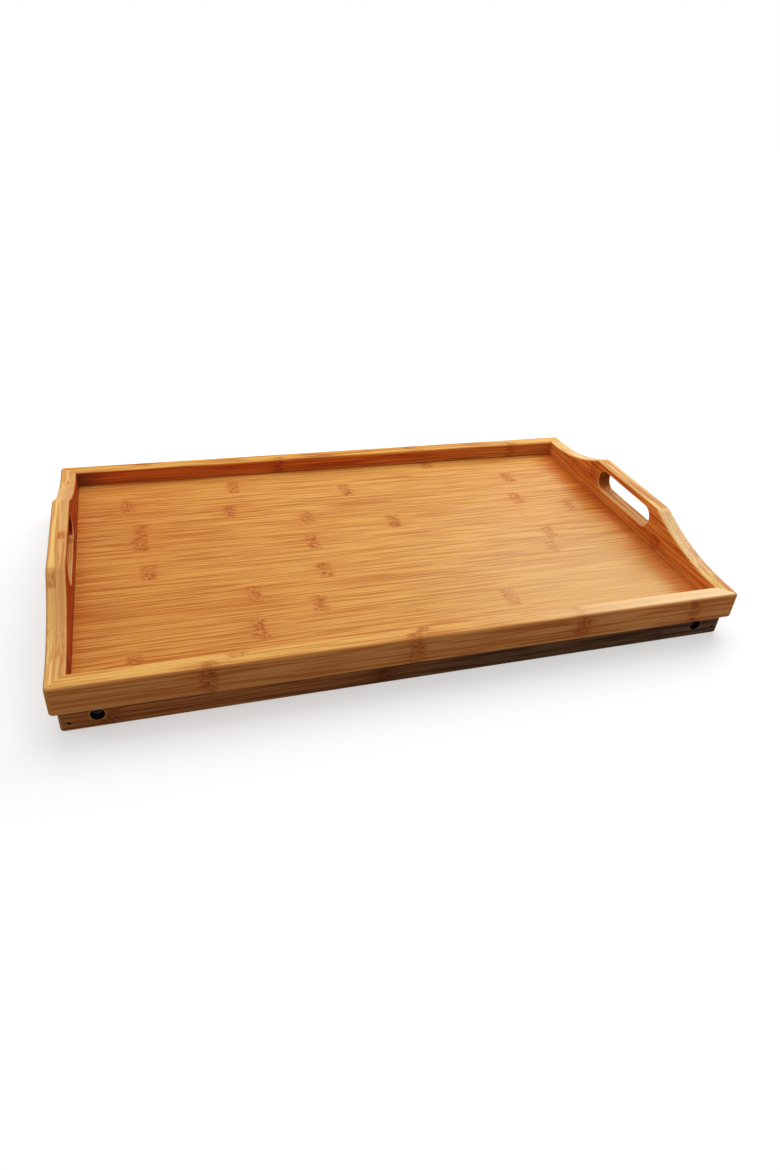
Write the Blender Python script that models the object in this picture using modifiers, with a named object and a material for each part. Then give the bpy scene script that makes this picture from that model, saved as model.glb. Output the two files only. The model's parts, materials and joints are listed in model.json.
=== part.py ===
"""A bamboo bed tray with two folding leg frames, modelled folded flat, as it is carried and stored.

Metres, +Z up. X runs along the tray, Y across it, and the front is towards -Y. The origin is on the
surface that the tray rests on, under the tray's centre.
"""

import math

import bmesh
import bpy
from mathutils import Matrix, Vector

# Tray frame: two long rails and two handle ends, mitred at the corners and sanded as one
TRAY_LENGTH = 0.500
TRAY_WIDTH = 0.305
RAIL_THICKNESS = 0.013
RAIL_HEIGHT = 0.0222
RIM_ROUND = 0.0026
RAIL_FOOT_ROUND = 0.0022
CORNER_ROUND = 0.0030

# Handle ends: a flat crest over the hand slot, and a long hollow sweep down to each corner
CREST_RISE = 0.0205
SHOULDER_RADIUS = 0.012
SLOT_LENGTH = 0.0850
SLOT_HEIGHT = 0.0190
SLOT_BELOW_CREST = 0.0052
SLOT_TO_SHOULDER = 0.0050
SLOT_ROUND = 0.0010

# Base panel: its thinner edge is a tongue, held in a groove all round
PANEL_THICKNESS = 0.0050
PANEL_STEP = 0.0010
PANEL_ABOVE_RAIL_FOOT = 0.0037
GROOVE_DEPTH = 0.0048
GROOVE_CLEARANCE = 0.0003

# Underframe: runners under the long rails, with an end batten between them at each end
RUNNER_HEIGHT = 0.0186
RUNNER_THICKNESS = 0.012
RUNNER_SETBACK_SIDE = 0.0054
RUNNER_SETBACK_END = 0.0038
RUNNER_ROUND = 0.0024
BATTEN_THICKNESS = 0.0122
BATTEN_FOOT_HEIGHT = 0.0006
BATTEN_ROUND = 0.0015

# Legs: two bars to each frame, with a cross bar near their feet. Open, they lean out and stand flat
LEG_THICKNESS = 0.012
LEG_FLOOR_GAP = 0.0022
LEG_HEADROOM = 0.0023
LEG_SPLAY = math.radians(10)
LEG_ROUND = 0.0018
LEG_STOP_CLEARANCE = 0.0003
FOLDED_FEET_GAP = 0.0358
CROSS_BAR_WIDTH = 0.024
CROSS_BAR_THICKNESS = 0.010
CROSS_BAR_FROM_FOOT = 0.046
CROSS_BAR_ROUND = 0.0020

# Pivots: a screw through runner and leg, with a washer on each side of the leg and a lock nut
PIVOT_SHANK_RADIUS = 0.0025
PIVOT_BORE_CLEARANCE = 0.0002
PIVOT_HEAD_RADIUS = 0.0039
PIVOT_HEAD_HEIGHT = 0.0026
PIVOT_HEAD_SET_DEPTH = 0.0027
PIVOT_POCKET_CLEARANCE = 0.0004
PIVOT_TAIL = 0.0010
SPACER_RADIUS = 0.0060
SPACER_THICKNESS = 0.0009
SPACER_CLEARANCE = 0.0003
NUT_WASHER_RADIUS = 0.0050
NUT_WASHER_THICKNESS = 0.0008
NUT_ACROSS_FLATS = 0.0080
NUT_HEIGHT = 0.0032
NUT_COLLAR_RADIUS = 0.0034
NUT_COLLAR_HEIGHT = 0.0012

# Cross bar screws: two countersunk screws through each leg into the bar's end grain
BAR_SCREW_SPACING = 0.0110
BAR_SCREW_SHANK_RADIUS = 0.0016
BAR_SCREW_HEAD_RADIUS = 0.0032
BAR_SCREW_HEAD_HEIGHT = 0.0017
BAR_SCREW_LENGTH = 0.0260
BAR_SCREW_POINT = 0.0035

# Driver recesses: a cross, in shares of the head's width and height
RECESS_LENGTH_SHARE = 0.54
RECESS_WIDTH_SHARE = 0.13
RECESS_DEPTH_SHARE = 0.54

# Brads: one through each runner end into the batten, punched below the surface
BRAD_HEIGHT = 0.0072
BRAD_RADIUS = 0.0006
BRAD_HEAD_RADIUS = 0.0009
BRAD_HEAD_HEIGHT = 0.0008
BRAD_LENGTH = 0.0220
BRAD_POINT = 0.0012
BRAD_SET_DEPTH = 0.0012

# Clearances and overruns
GLUE_GAP = 0.0002
SEAT_CLEARANCE = 0.00015
OVERRUN = 0.002
WELD_DISTANCE = 0.00001

# Facets on round shapes
ROUND_SEGMENTS = 3
SWEEP_STEPS = 9
SHOULDER_STEPS = 4
SLOT_END_STEPS = 12
LEG_END_STEPS = 12
SMALL_ROUND_SIDES = 20
DOME_STEPS = 3
SHARP_ANGLE = math.radians(40)
FLAT_ANGLE = math.radians(0.2)

# Places worked out from the sizes above
HALF_LENGTH = TRAY_LENGTH / 2
HALF_WIDTH = TRAY_WIDTH / 2
INNER_HALF_LENGTH = HALF_LENGTH - RAIL_THICKNESS
INNER_HALF_WIDTH = HALF_WIDTH - RAIL_THICKNESS
RAIL_FOOT = RUNNER_HEIGHT + GLUE_GAP
RIM = RAIL_FOOT + RAIL_HEIGHT
CREST = RIM + CREST_RISE
CREST_HALF_LENGTH = SLOT_LENGTH / 2 + SLOT_TO_SHOULDER
SLOT_MIDDLE = CREST - SLOT_BELOW_CREST - SLOT_HEIGHT / 2
PANEL_FOOT = RAIL_FOOT + PANEL_ABOVE_RAIL_FOOT
PANEL_MIDDLE = PANEL_FOOT + PANEL_THICKNESS / 2
TONGUE_THICKNESS = PANEL_THICKNESS - 2 * PANEL_STEP
RUNNER_FACE = HALF_WIDTH - RUNNER_SETBACK_SIDE
RUNNER_INNER_FACE = RUNNER_FACE - RUNNER_THICKNESS
RUNNER_END = HALF_LENGTH - RUNNER_SETBACK_END
BATTEN_X = RUNNER_END - BATTEN_THICKNESS / 2

# The leg fills the room under the panel, and the batten's rounded lower edge just stops the open leg
LEG_WIDTH = PANEL_FOOT - LEG_HEADROOM - LEG_FLOOR_GAP
PIVOT_HEIGHT = LEG_FLOOR_GAP + LEG_WIDTH / 2
STOP_BELOW_PIVOT = PIVOT_HEIGHT - BATTEN_FOOT_HEIGHT - BATTEN_ROUND
STOP_STAND_OFF = LEG_WIDTH / 2 + LEG_STOP_CLEARANCE + BATTEN_ROUND
STOP_RUN = (STOP_STAND_OFF + STOP_BELOW_PIVOT * math.sin(LEG_SPLAY)) / math.cos(LEG_SPLAY)
PIVOT_X = RUNNER_END - BATTEN_THICKNESS + BATTEN_ROUND - STOP_RUN
LEG_REACH = PIVOT_X - FOLDED_FEET_GAP / 2
LEG_OUTER_FACE = RUNNER_INNER_FACE - SPACER_THICKNESS - 2 * SPACER_CLEARANCE
LEG_INNER_FACE = LEG_OUTER_FACE - LEG_THICKNESS
CROSS_BAR_X = PIVOT_X - LEG_REACH + CROSS_BAR_FROM_FOOT
HEAD_SEAT = RUNNER_FACE - PIVOT_HEAD_SET_DEPTH - PIVOT_HEAD_HEIGHT
NUT_WASHER_FACE = LEG_INNER_FACE - SEAT_CLEARANCE
NUT_SEAT = NUT_WASHER_FACE - NUT_WASHER_THICKNESS - SEAT_CLEARANCE
SCREW_TAIL = NUT_SEAT - NUT_HEIGHT - NUT_COLLAR_HEIGHT - PIVOT_TAIL

SIDES = {"front": -1, "back": 1}
ENDS = {"left": -1, "right": 1}


# Scene, collections and materials
def clear_scene():
    for obj in list(bpy.data.objects):
        bpy.data.objects.remove(obj)


def add_collection(name):
    collection = bpy.data.collections.new(name)
    bpy.context.scene.collection.children.link(collection)
    return collection


def put_in(obj, collection):
    for holder in list(obj.users_collection):
        holder.objects.unlink(obj)
    collection.objects.link(obj)
    return obj


def make_material(name, colour, roughness, metallic=0.0):
    material = bpy.data.materials.new(name)
    material.use_nodes = True
    shader = material.node_tree.nodes["Principled BSDF"]
    shader.inputs["Base Color"].default_value = (*colour, 1.0)
    shader.inputs["Roughness"].default_value = roughness
    shader.inputs["Metallic"].default_value = metallic
    return material


# Modelling helpers
def mesh_object(name, mesh):
    obj = bpy.data.objects.new(name, mesh)
    bpy.context.scene.collection.objects.link(obj)
    return obj


def settle(obj):
    """Applies the modifiers, welds the mesh and joins its flat faces, ready for the next rounding or cut."""
    bpy.context.view_layer.update()
    graph = bpy.context.evaluated_depsgraph_get()
    mesh = bpy.data.meshes.new_from_object(obj.evaluated_get(graph))
    body = bmesh.new()
    body.from_mesh(mesh)
    bmesh.ops.remove_doubles(body, verts=body.verts, dist=WELD_DISTANCE)
    bmesh.ops.dissolve_limit(body, angle_limit=FLAT_ANGLE, verts=body.verts, edges=body.edges)
    body.to_mesh(mesh)
    body.free()
    name, place = obj.name, obj.matrix_world.copy()
    bpy.data.objects.remove(obj)
    made = mesh_object(name, mesh)
    made.matrix_world = place
    return made


def as_cutter(obj):
    obj.hide_render = True
    obj.display_type = "WIRE"
    return put_in(obj, CUTTERS)


def cut(target, cutter, operation="DIFFERENCE"):
    modifier = target.modifiers.new(cutter.name, "BOOLEAN")
    modifier.operation = operation
    modifier.object = as_cutter(cutter)


def round_edges(obj, width):
    """Rounds every sharp edge alike."""
    bevel = obj.modifiers.new("rounded_edges", "BEVEL")
    bevel.width = width
    bevel.segments = ROUND_SEGMENTS
    bevel.angle_limit = SHARP_ANGLE
    return settle(obj)


def round_chosen_edges(obj, widest, width_of):
    """Rounds each edge by the width that width_of gives for it, up to the widest."""
    body = bmesh.new()
    body.from_mesh(obj.data)
    weights = body.edges.layers.float.new("bevel_weight_edge")
    for edge in body.edges:
        if edge.calc_face_angle_signed() > SHARP_ANGLE:
            edge[weights] = width_of(edge) / widest
    body.to_mesh(obj.data)
    body.free()
    bevel = obj.modifiers.new("rounded_edges", "BEVEL")
    bevel.width = widest
    bevel.segments = ROUND_SEGMENTS
    bevel.limit_method = "WEIGHT"
    return settle(obj)


def round_below_top(obj, width):
    """Rounds the sharp edges of an upright block, apart from those round its glued top face."""
    top = max(vertex.co.z for vertex in obj.data.vertices) - WELD_DISTANCE
    return round_chosen_edges(obj, width, lambda edge: 0 if min(v.co.z for v in edge.verts) > top else width)


def box(name, size, centre):
    bpy.ops.mesh.primitive_cube_add(size=1, location=centre)
    obj = bpy.context.object
    obj.name = name
    obj.scale = size
    bpy.ops.object.transform_apply(location=False, rotation=False, scale=True)
    return obj


def plate(name, outlines, thickness):
    """A flat plate in XY, its thickness along Z: the first outline is its edge, any others are holes."""
    curve = bpy.data.curves.new(name, "CURVE")
    curve.dimensions = "2D"
    curve.fill_mode = "BOTH"
    curve.extrude = thickness / 2
    for outline in outlines:
        spline = curve.splines.new("POLY")
        spline.points.add(len(outline) - 1)
        for point, (x, y) in zip(spline.points, outline):
            point.co = (x, y, 0, 1)
        spline.use_cyclic_u = True
    obj = bpy.data.objects.new(name, curve)
    bpy.context.scene.collection.objects.link(obj)
    return settle(obj)


def turned(name, profile):
    """A solid turned about Z from (radius, height) points that run down its outer side."""
    mesh = bpy.data.meshes.new(name)
    body = bmesh.new()
    corners = [body.verts.new((radius, 0, height)) for radius, height in profile]
    for upper, lower in zip(corners, corners[1:]):
        body.edges.new((upper, lower))
    body.to_mesh(mesh)
    body.free()
    obj = mesh_object(name, mesh)
    screw = obj.modifiers.new("turned", "SCREW")
    screw.steps = SMALL_ROUND_SIDES
    screw.render_steps = SMALL_ROUND_SIDES
    screw.use_merge_vertices = True
    screw.merge_threshold = WELD_DISTANCE
    return settle(obj)


def arc(centre, radius, start, end, steps):
    """Points along an arc between two angles, ends included."""
    angles = [start + (end - start) * step / steps for step in range(steps + 1)]
    return [(centre[0] + radius * math.cos(a), centre[1] + radius * math.sin(a)) for a in angles]


def circle(radius, sides=SMALL_ROUND_SIDES):
    return arc((0, 0), radius, 0, 2 * math.pi, sides)[:-1]


def stadium(length, height, steps):
    """A slot with round ends, along X."""
    reach = (length - height) / 2
    right = arc((reach, 0), height / 2, -math.pi / 2, math.pi / 2, steps)
    left = arc((-reach, 0), height / 2, math.pi / 2, 3 * math.pi / 2, steps)
    return right + left


def face_out(obj, end, side, face, x=0, height=0):
    """Lays a piece made about Z across the tray, with its top facing out on a side and level with a face."""
    turn = Vector((0, side, 0)).to_track_quat("Z", "Y").to_matrix().to_4x4()
    obj.matrix_world = Matrix.Translation((end * x, side * face, height)) @ turn
    return obj


def at_pivot(obj, end, side, face):
    return face_out(obj, end, side, face, PIVOT_X, PIVOT_HEIGHT)


def cross_recess(obj, head_radius, head_height):
    """Cuts a cross-shaped driver recess in a head whose top is at height zero."""
    length, width = 2 * head_radius * RECESS_LENGTH_SHARE, 2 * head_radius * RECESS_WIDTH_SHARE
    depth = head_height * RECESS_DEPTH_SHARE
    for number, size in enumerate(((length, width), (width, length))):
        cut(obj, box(f"{obj.name}_recess_{number}", (*size, 2 * depth), (0, 0, 0)))
    return settle(obj)


def finish(obj, material):
    obj.data.materials.clear()
    obj.data.materials.append(material)
    obj.data.shade_smooth()
    obj.data.set_sharp_from_angle(angle=SHARP_ANGLE)
    return put_in(obj, TRAY)


# The tray frame
def handle_outline():
    """One end seen square on, as (across, up) points: crest, round shoulders, hollow sweeps, square foot.

    Shoulder and sweep are arcs that meet tangentially, and the sweep ends level with the rim.
    """
    run = INNER_HALF_WIDTH - CREST_HALF_LENGTH
    reach = (run**2 + CREST_RISE**2) / (2 * CREST_RISE)
    sweep_radius = reach - SHOULDER_RADIUS
    turn = math.asin(run / reach)
    up = math.pi / 2
    shoulder_centre = (CREST_HALF_LENGTH, CREST - SHOULDER_RADIUS)
    shoulder = arc(shoulder_centre, SHOULDER_RADIUS, up, up - turn, SHOULDER_STEPS)
    sweep = arc((INNER_HALF_WIDTH, RIM + sweep_radius), sweep_radius, -up - turn, -up, SWEEP_STEPS)
    right = shoulder + sweep[1:] + [(HALF_WIDTH, RIM), (HALF_WIDTH, RAIL_FOOT)]
    return right + [(-across, height) for across, height in reversed(right)]


def stand_across(obj):
    """Stands a plate up so that what was drawn along X and Y runs across the tray and upwards."""
    obj.data.transform(Matrix(((0, 0, 1, 0), (1, 0, 0, 0), (0, 1, 0, 0), (0, 0, 0, 1))))
    return obj


def sanding_width(edge):
    """How far sanding has rounded one sharp edge of the frame."""
    start, end = (vertex.co for vertex in edge.verts)
    middle, along = (start + end) / 2, end - start
    beside_slot = abs(middle.y) < SLOT_LENGTH / 2 + WELD_DISTANCE
    if beside_slot and abs(middle.z - SLOT_MIDDLE) < SLOT_HEIGHT / 2 + WELD_DISTANCE:
        return SLOT_ROUND
    if abs(along.z) > along.xy.length:
        return CORNER_ROUND
    if middle.z < RAIL_FOOT + WELD_DISTANCE:
        return RAIL_FOOT_ROUND
    return RIM_ROUND


def sanded_frame():
    """Rails and ends as one glued frame: the end's outline run along the tray, hollowed, slotted, rounded
    and grooved for the panel."""
    frame = stand_across(plate("frame", [handle_outline()], TRAY_LENGTH))
    cut(frame, box("well_cutter", (2 * INNER_HALF_LENGTH, 2 * INNER_HALF_WIDTH, 4 * CREST), (0, 0, 0)))
    slot_run = TRAY_LENGTH + 2 * OVERRUN
    slot = stand_across(plate("slot_cutter", [stadium(SLOT_LENGTH, SLOT_HEIGHT, SLOT_END_STEPS)], slot_run))
    slot.location.z = SLOT_MIDDLE
    cut(frame, slot)
    frame = round_chosen_edges(settle(frame), CORNER_ROUND, sanding_width)
    groove_size = (
        2 * (INNER_HALF_LENGTH + GROOVE_DEPTH),
        2 * (INNER_HALF_WIDTH + GROOVE_DEPTH),
        TONGUE_THICKNESS + 2 * GROOVE_CLEARANCE,
    )
    cut(frame, box("groove_cutter", groove_size, (0, 0, PANEL_MIDDLE)))
    return settle(frame)


def saw(body, point, normal):
    """Cuts away what lies on the normal's side of a plane, and closes the cut."""
    geometry = body.verts[:] + body.edges[:] + body.faces[:]
    made = bmesh.ops.bisect_plane(
        body, geom=geometry, dist=WELD_DISTANCE / 10, plane_co=point, plane_no=normal, clear_outer=True
    )
    rim = [item for item in made["geom_cut"] if isinstance(item, bmesh.types.BMEdge)]
    bmesh.ops.holes_fill(body, edges=rim, sides=0)


def mitred_piece(name, frame, outward):
    """The side of the frame that faces outward: its half of the frame, sawn off at two mitres."""
    body = bmesh.new()
    body.from_mesh(frame.data)
    middle = Vector((outward.x * HALF_LENGTH, outward.y * HALF_WIDTH, RAIL_FOOT))
    saw(body, Vector((0, 0, 0)), -outward)
    for turn in (-1, 1):
        along = Vector((-outward.y, outward.x, 0)) * turn
        half_run = HALF_WIDTH if outward.x else HALF_LENGTH
        saw(body, middle + along * (half_run - GLUE_GAP / 2), along - outward)
    mesh = bpy.data.meshes.new(name)
    body.to_mesh(mesh)
    body.free()
    mesh.transform(Matrix.Translation(-middle))
    piece = mesh_object(name, mesh)
    piece.location = middle
    finish(piece, BAMBOO)


def make_frame():
    frame = sanded_frame()
    for side_name, side in SIDES.items():
        mitred_piece(f"{side_name}_rail", frame, Vector((0, side, 0)))
    for end_name, end in ENDS.items():
        mitred_piece(f"{end_name}_handle_end", frame, Vector((end, 0, 0)))
    bpy.data.objects.remove(frame)


def make_base_panel():
    """The board that carries the dishes: a field that fills the well, on a tongue that fills the groove."""
    reach = GROOVE_DEPTH - GROOVE_CLEARANCE
    tongue_size = (2 * (INNER_HALF_LENGTH + reach), 2 * (INNER_HALF_WIDTH + reach), TONGUE_THICKNESS)
    field_length = 2 * (INNER_HALF_LENGTH - GROOVE_CLEARANCE)
    field_width = 2 * (INNER_HALF_WIDTH - GROOVE_CLEARANCE)
    panel = box("base_panel", (field_length, field_width, PANEL_THICKNESS), (0, 0, PANEL_MIDDLE))
    cut(panel, box("panel_tongue", tongue_size, (0, 0, PANEL_MIDDLE)), "UNION")
    finish(settle(panel), PANEL_BAMBOO)


# The underframe
def stepped_hole(name, wide, wide_depth, narrow, narrow_depth):
    """A hole about Z, cut down from height zero: a wide mouth, then a narrower bore."""
    profile = [
        (0, OVERRUN),
        (wide, OVERRUN),
        (wide, -wide_depth),
        (narrow, -wide_depth),
        (narrow, -narrow_depth),
        (0, -narrow_depth),
    ]
    return turned(name, profile)


def pivot_hole(end, side):
    bore = PIVOT_SHANK_RADIUS + PIVOT_BORE_CLEARANCE
    through = RUNNER_THICKNESS + OVERRUN
    pocket = PIVOT_HEAD_RADIUS + PIVOT_POCKET_CLEARANCE
    pocket_depth = RUNNER_FACE - HEAD_SEAT + SEAT_CLEARANCE
    hole = stepped_hole("pivot_hole", pocket, pocket_depth, bore, through)
    return at_pivot(hole, end, side, RUNNER_FACE)


def brad_hole(end, side):
    """The brad's hole through runner and batten, as wide as the punch where the head is set below the face."""
    punch = BRAD_HEAD_RADIUS + SEAT_CLEARANCE
    punch_depth = BRAD_SET_DEPTH + BRAD_HEAD_HEIGHT + SEAT_CLEARANCE
    depth = BRAD_SET_DEPTH + BRAD_LENGTH + SEAT_CLEARANCE
    hole = stepped_hole("brad_hole", punch, punch_depth, BRAD_RADIUS + SEAT_CLEARANCE, depth)
    return face_out(hole, end, side, RUNNER_FACE, BATTEN_X, BRAD_HEIGHT)


def make_runner(side_name, side):
    size = (2 * RUNNER_END, RUNNER_THICKNESS, RUNNER_HEIGHT)
    middle = side * (RUNNER_FACE + RUNNER_INNER_FACE) / 2
    runner = round_below_top(box(f"{side_name}_runner", size, (0, middle, RUNNER_HEIGHT / 2)), RUNNER_ROUND)
    for end in ENDS.values():
        cut(runner, pivot_hole(end, side))
        cut(runner, brad_hole(end, side))
    finish(settle(runner), BAMBOO)


def make_batten(end_name, end):
    """The bar that ties the runners together, stiffens the end and stops the open legs."""
    height = RUNNER_HEIGHT - BATTEN_FOOT_HEIGHT
    size = (BATTEN_THICKNESS, 2 * (RUNNER_INNER_FACE - GLUE_GAP), height)
    centre = (end * BATTEN_X, 0, RUNNER_HEIGHT - height / 2)
    batten = round_below_top(box(f"{end_name}_end_batten", size, centre), BATTEN_ROUND)
    for side in SIDES.values():
        cut(batten, brad_hole(end, side))
    finish(settle(batten), BAMBOO)


def make_brad(name, end, side):
    profile = [
        (0, 0),
        (BRAD_HEAD_RADIUS, 0),
        (BRAD_HEAD_RADIUS, -BRAD_HEAD_HEIGHT),
        (BRAD_RADIUS, -BRAD_HEAD_HEIGHT),
        (BRAD_RADIUS, -BRAD_LENGTH + BRAD_POINT),
        (0, -BRAD_LENGTH),
    ]
    brad = face_out(turned(name, profile), end, side, RUNNER_FACE - BRAD_SET_DEPTH, BATTEN_X, BRAD_HEIGHT)
    finish(brad, STEEL)


# Pivot hardware
def make_pivot_screw(name, end, side):
    """A round-topped machine screw whose tail just shows past the nut."""
    rise = PIVOT_HEAD_HEIGHT / 2
    leans = [math.pi / 2 * step / DOME_STEPS for step in range(DOME_STEPS + 1)]
    dome = [(PIVOT_HEAD_RADIUS * math.sin(lean), rise * (math.cos(lean) - 1)) for lean in leans]
    tip = -PIVOT_HEAD_HEIGHT - HEAD_SEAT + SCREW_TAIL
    profile = dome + [
        (PIVOT_HEAD_RADIUS, -PIVOT_HEAD_HEIGHT),
        (PIVOT_SHANK_RADIUS, -PIVOT_HEAD_HEIGHT),
        (PIVOT_SHANK_RADIUS, tip),
        (0, tip),
    ]
    screw = cross_recess(turned(name, profile), PIVOT_HEAD_RADIUS, PIVOT_HEAD_HEIGHT)
    finish(at_pivot(screw, end, side, HEAD_SEAT + PIVOT_HEAD_HEIGHT), DARK_STEEL)


def make_washer(name, radius, thickness, end, side, face, material):
    bore = PIVOT_SHANK_RADIUS + PIVOT_BORE_CLEARANCE
    washer = plate(name, [circle(radius), circle(bore)], thickness)
    finish(at_pivot(washer, end, side, face - thickness / 2), material)


def make_lock_nut(name, end, side):
    """A hexagon nut with the thinner round collar that holds its locking ring."""
    corner_radius = NUT_ACROSS_FLATS / 2 / math.cos(math.pi / 6)
    nut = plate(name, [circle(corner_radius, sides=6)], NUT_HEIGHT)
    nut.data.transform(Matrix.Translation((0, 0, -NUT_HEIGHT / 2)))
    whole = NUT_HEIGHT + NUT_COLLAR_HEIGHT
    collar = [(0, -OVERRUN / 2), (NUT_COLLAR_RADIUS, -OVERRUN / 2), (NUT_COLLAR_RADIUS, -whole), (0, -whole)]
    cut(nut, turned(f"{name}_collar", collar), "UNION")
    bore = PIVOT_SHANK_RADIUS + SEAT_CLEARANCE
    drill = [(0, OVERRUN), (bore, OVERRUN), (bore, -whole - OVERRUN), (0, -whole - OVERRUN)]
    cut(nut, turned(f"{name}_drill", drill))
    finish(at_pivot(settle(nut), end, side, NUT_SEAT), ZINC)


def make_pivot(end_name, end, side_name, side):
    place = f"{side_name}_{end_name}"
    make_pivot_screw(f"pivot_screw_{place}", end, side)
    spacer_face = RUNNER_INNER_FACE - SPACER_CLEARANCE
    make_washer(f"spacer_{place}", SPACER_RADIUS, SPACER_THICKNESS, end, side, spacer_face, NYLON)
    washer_size = (NUT_WASHER_RADIUS, NUT_WASHER_THICKNESS)
    make_washer(f"washer_{place}", *washer_size, end, side, NUT_WASHER_FACE, ZINC)
    make_lock_nut(f"lock_nut_{place}", end, side)


# The leg frames
def add_pivot(end_name, end):
    """An empty on the line about which one leg frame folds."""
    pivot = bpy.data.objects.new(f"{end_name}_leg_pivot", None)
    pivot.location = (end * PIVOT_X, 0, PIVOT_HEIGHT)
    TRAY.objects.link(pivot)
    bpy.context.view_layer.update()
    return pivot


def hang_on(obj, pivot):
    """Parents a piece to its pivot and leaves it where it is."""
    place = obj.matrix_world.copy()
    obj.parent = pivot
    obj.matrix_parent_inverse = pivot.matrix_world.inverted()
    obj.matrix_world = place


def screw_places():
    """The two screws of a cross bar joint, as distances from the tray's middle."""
    return (CROSS_BAR_X + BAR_SCREW_SPACING / 2, CROSS_BAR_X - BAR_SCREW_SPACING / 2)


def bar_screw_profile(clearance=0.0):
    """A countersunk wood screw below height zero, or, with a clearance, the hole that takes it."""
    head = BAR_SCREW_HEAD_RADIUS + clearance
    shank = BAR_SCREW_SHANK_RADIUS + clearance
    return [
        (head, clearance),
        (shank, clearance - BAR_SCREW_HEAD_HEIGHT),
        (shank, BAR_SCREW_POINT - BAR_SCREW_LENGTH),
        (0, -BAR_SCREW_LENGTH - clearance),
    ]


def bar_screw_hole(end, side, place):
    slope = bar_screw_profile(SEAT_CLEARANCE)
    hole = turned("bar_screw_hole", [(0, OVERRUN), (slope[0][0], OVERRUN)] + slope)
    return face_out(hole, end, side, LEG_OUTER_FACE, place, PIVOT_HEIGHT)


def make_leg(name, end, side, pivot):
    """A flat bar: round about its pivot, cut at its foot so that the open leg stands flat on the floor."""
    half = LEG_WIDTH / 2
    slant = half * math.tan(LEG_SPLAY)
    pivot_end = arc((0, 0), half, math.pi / 2, 3 * math.pi / 2, LEG_END_STEPS)
    outline = pivot_end + [(LEG_REACH + slant, -half), (LEG_REACH - slant, half)]
    leg = plate(name, [[(-end * along, across) for along, across in outline]], LEG_THICKNESS)
    leg = round_edges(leg, LEG_ROUND)
    leg.matrix_world = Matrix.Translation(
        (end * PIVOT_X, side * (LEG_OUTER_FACE + LEG_INNER_FACE) / 2, PIVOT_HEIGHT)
    ) @ Matrix.Rotation(math.pi / 2, 4, "X")
    bore = PIVOT_SHANK_RADIUS + PIVOT_BORE_CLEARANCE
    through = LEG_THICKNESS + OVERRUN
    drill = turned("leg_bore", [(0, OVERRUN), (bore, OVERRUN), (bore, -through), (0, -through)])
    cut(leg, at_pivot(drill, end, side, LEG_OUTER_FACE))
    for place in screw_places():
        cut(leg, bar_screw_hole(end, side, place))
    hang_on(finish(settle(leg), BAMBOO), pivot)


def make_cross_bar(name, end, pivot):
    size = (CROSS_BAR_WIDTH, 2 * (LEG_INNER_FACE - GLUE_GAP), CROSS_BAR_THICKNESS)
    bar = round_edges(box(name, size, (end * CROSS_BAR_X, 0, PIVOT_HEIGHT)), CROSS_BAR_ROUND)
    for side in SIDES.values():
        for place in screw_places():
            cut(bar, bar_screw_hole(end, side, place))
    hang_on(finish(settle(bar), BAMBOO), pivot)


def make_bar_screw(name, end, side, place, pivot):
    screw = turned(name, [(0, 0)] + bar_screw_profile())
    screw = cross_recess(screw, BAR_SCREW_HEAD_RADIUS, BAR_SCREW_HEAD_HEIGHT)
    hang_on(finish(face_out(screw, end, side, LEG_OUTER_FACE, place, PIVOT_HEIGHT), ZINC), pivot)


def make_leg_frame(end_name, end):
    pivot = add_pivot(end_name, end)
    make_cross_bar(f"{end_name}_cross_bar", end, pivot)
    for side_name, side in SIDES.items():
        make_leg(f"{end_name}_leg_{side_name}", end, side, pivot)
        for number, place in enumerate(screw_places(), start=1):
            make_bar_screw(f"{end_name}_bar_screw_{side_name}_{number}", end, side, place, pivot)


clear_scene()
TRAY = add_collection("bed_tray")
CUTTERS = add_collection("cutters")
BAMBOO = make_material("bamboo", (0.62, 0.32, 0.11), 0.42)
PANEL_BAMBOO = make_material("panel_bamboo", (0.68, 0.34, 0.11), 0.36)
DARK_STEEL = make_material("dark_steel", (0.03, 0.03, 0.04), 0.30, metallic=0.9)
ZINC = make_material("zinc", (0.62, 0.62, 0.60), 0.32, metallic=1.0)
STEEL = make_material("bright_steel", (0.45, 0.44, 0.42), 0.38, metallic=1.0)
NYLON = make_material("nylon", (0.80, 0.78, 0.72), 0.50)

make_frame()
make_base_panel()
for one_side_name, one_side in SIDES.items():
    make_runner(one_side_name, one_side)
for one_end_name, one_end in ENDS.items():
    make_batten(one_end_name, one_end)
    make_leg_frame(one_end_name, one_end)
    for one_side_name, one_side in SIDES.items():
        make_pivot(one_end_name, one_end, one_side_name, one_side)
        make_brad(f"brad_{one_side_name}_{one_end_name}", one_end, one_side)
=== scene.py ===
# %% [markdown]
# # A bamboo bed tray, finished piece by piece
#
# The tray is a lacquered bamboo frame round a board of glued strips. It stands on two runners, and two leg
# frames fold flat under the board. The imported model fixes every size and everything that moves. This
# script makes each piece again with sanded edges, drilled holes and real screw heads, gives it a finish
# that is worked out from where it lies in the wood, and lights it as a product photographer would.
#
# The first step loads the imported model. The finished tray has to fill the same one.

# %% Load the imported model
import json
import math

import bmesh
import bpy
from mathutils import Matrix, Vector


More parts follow.
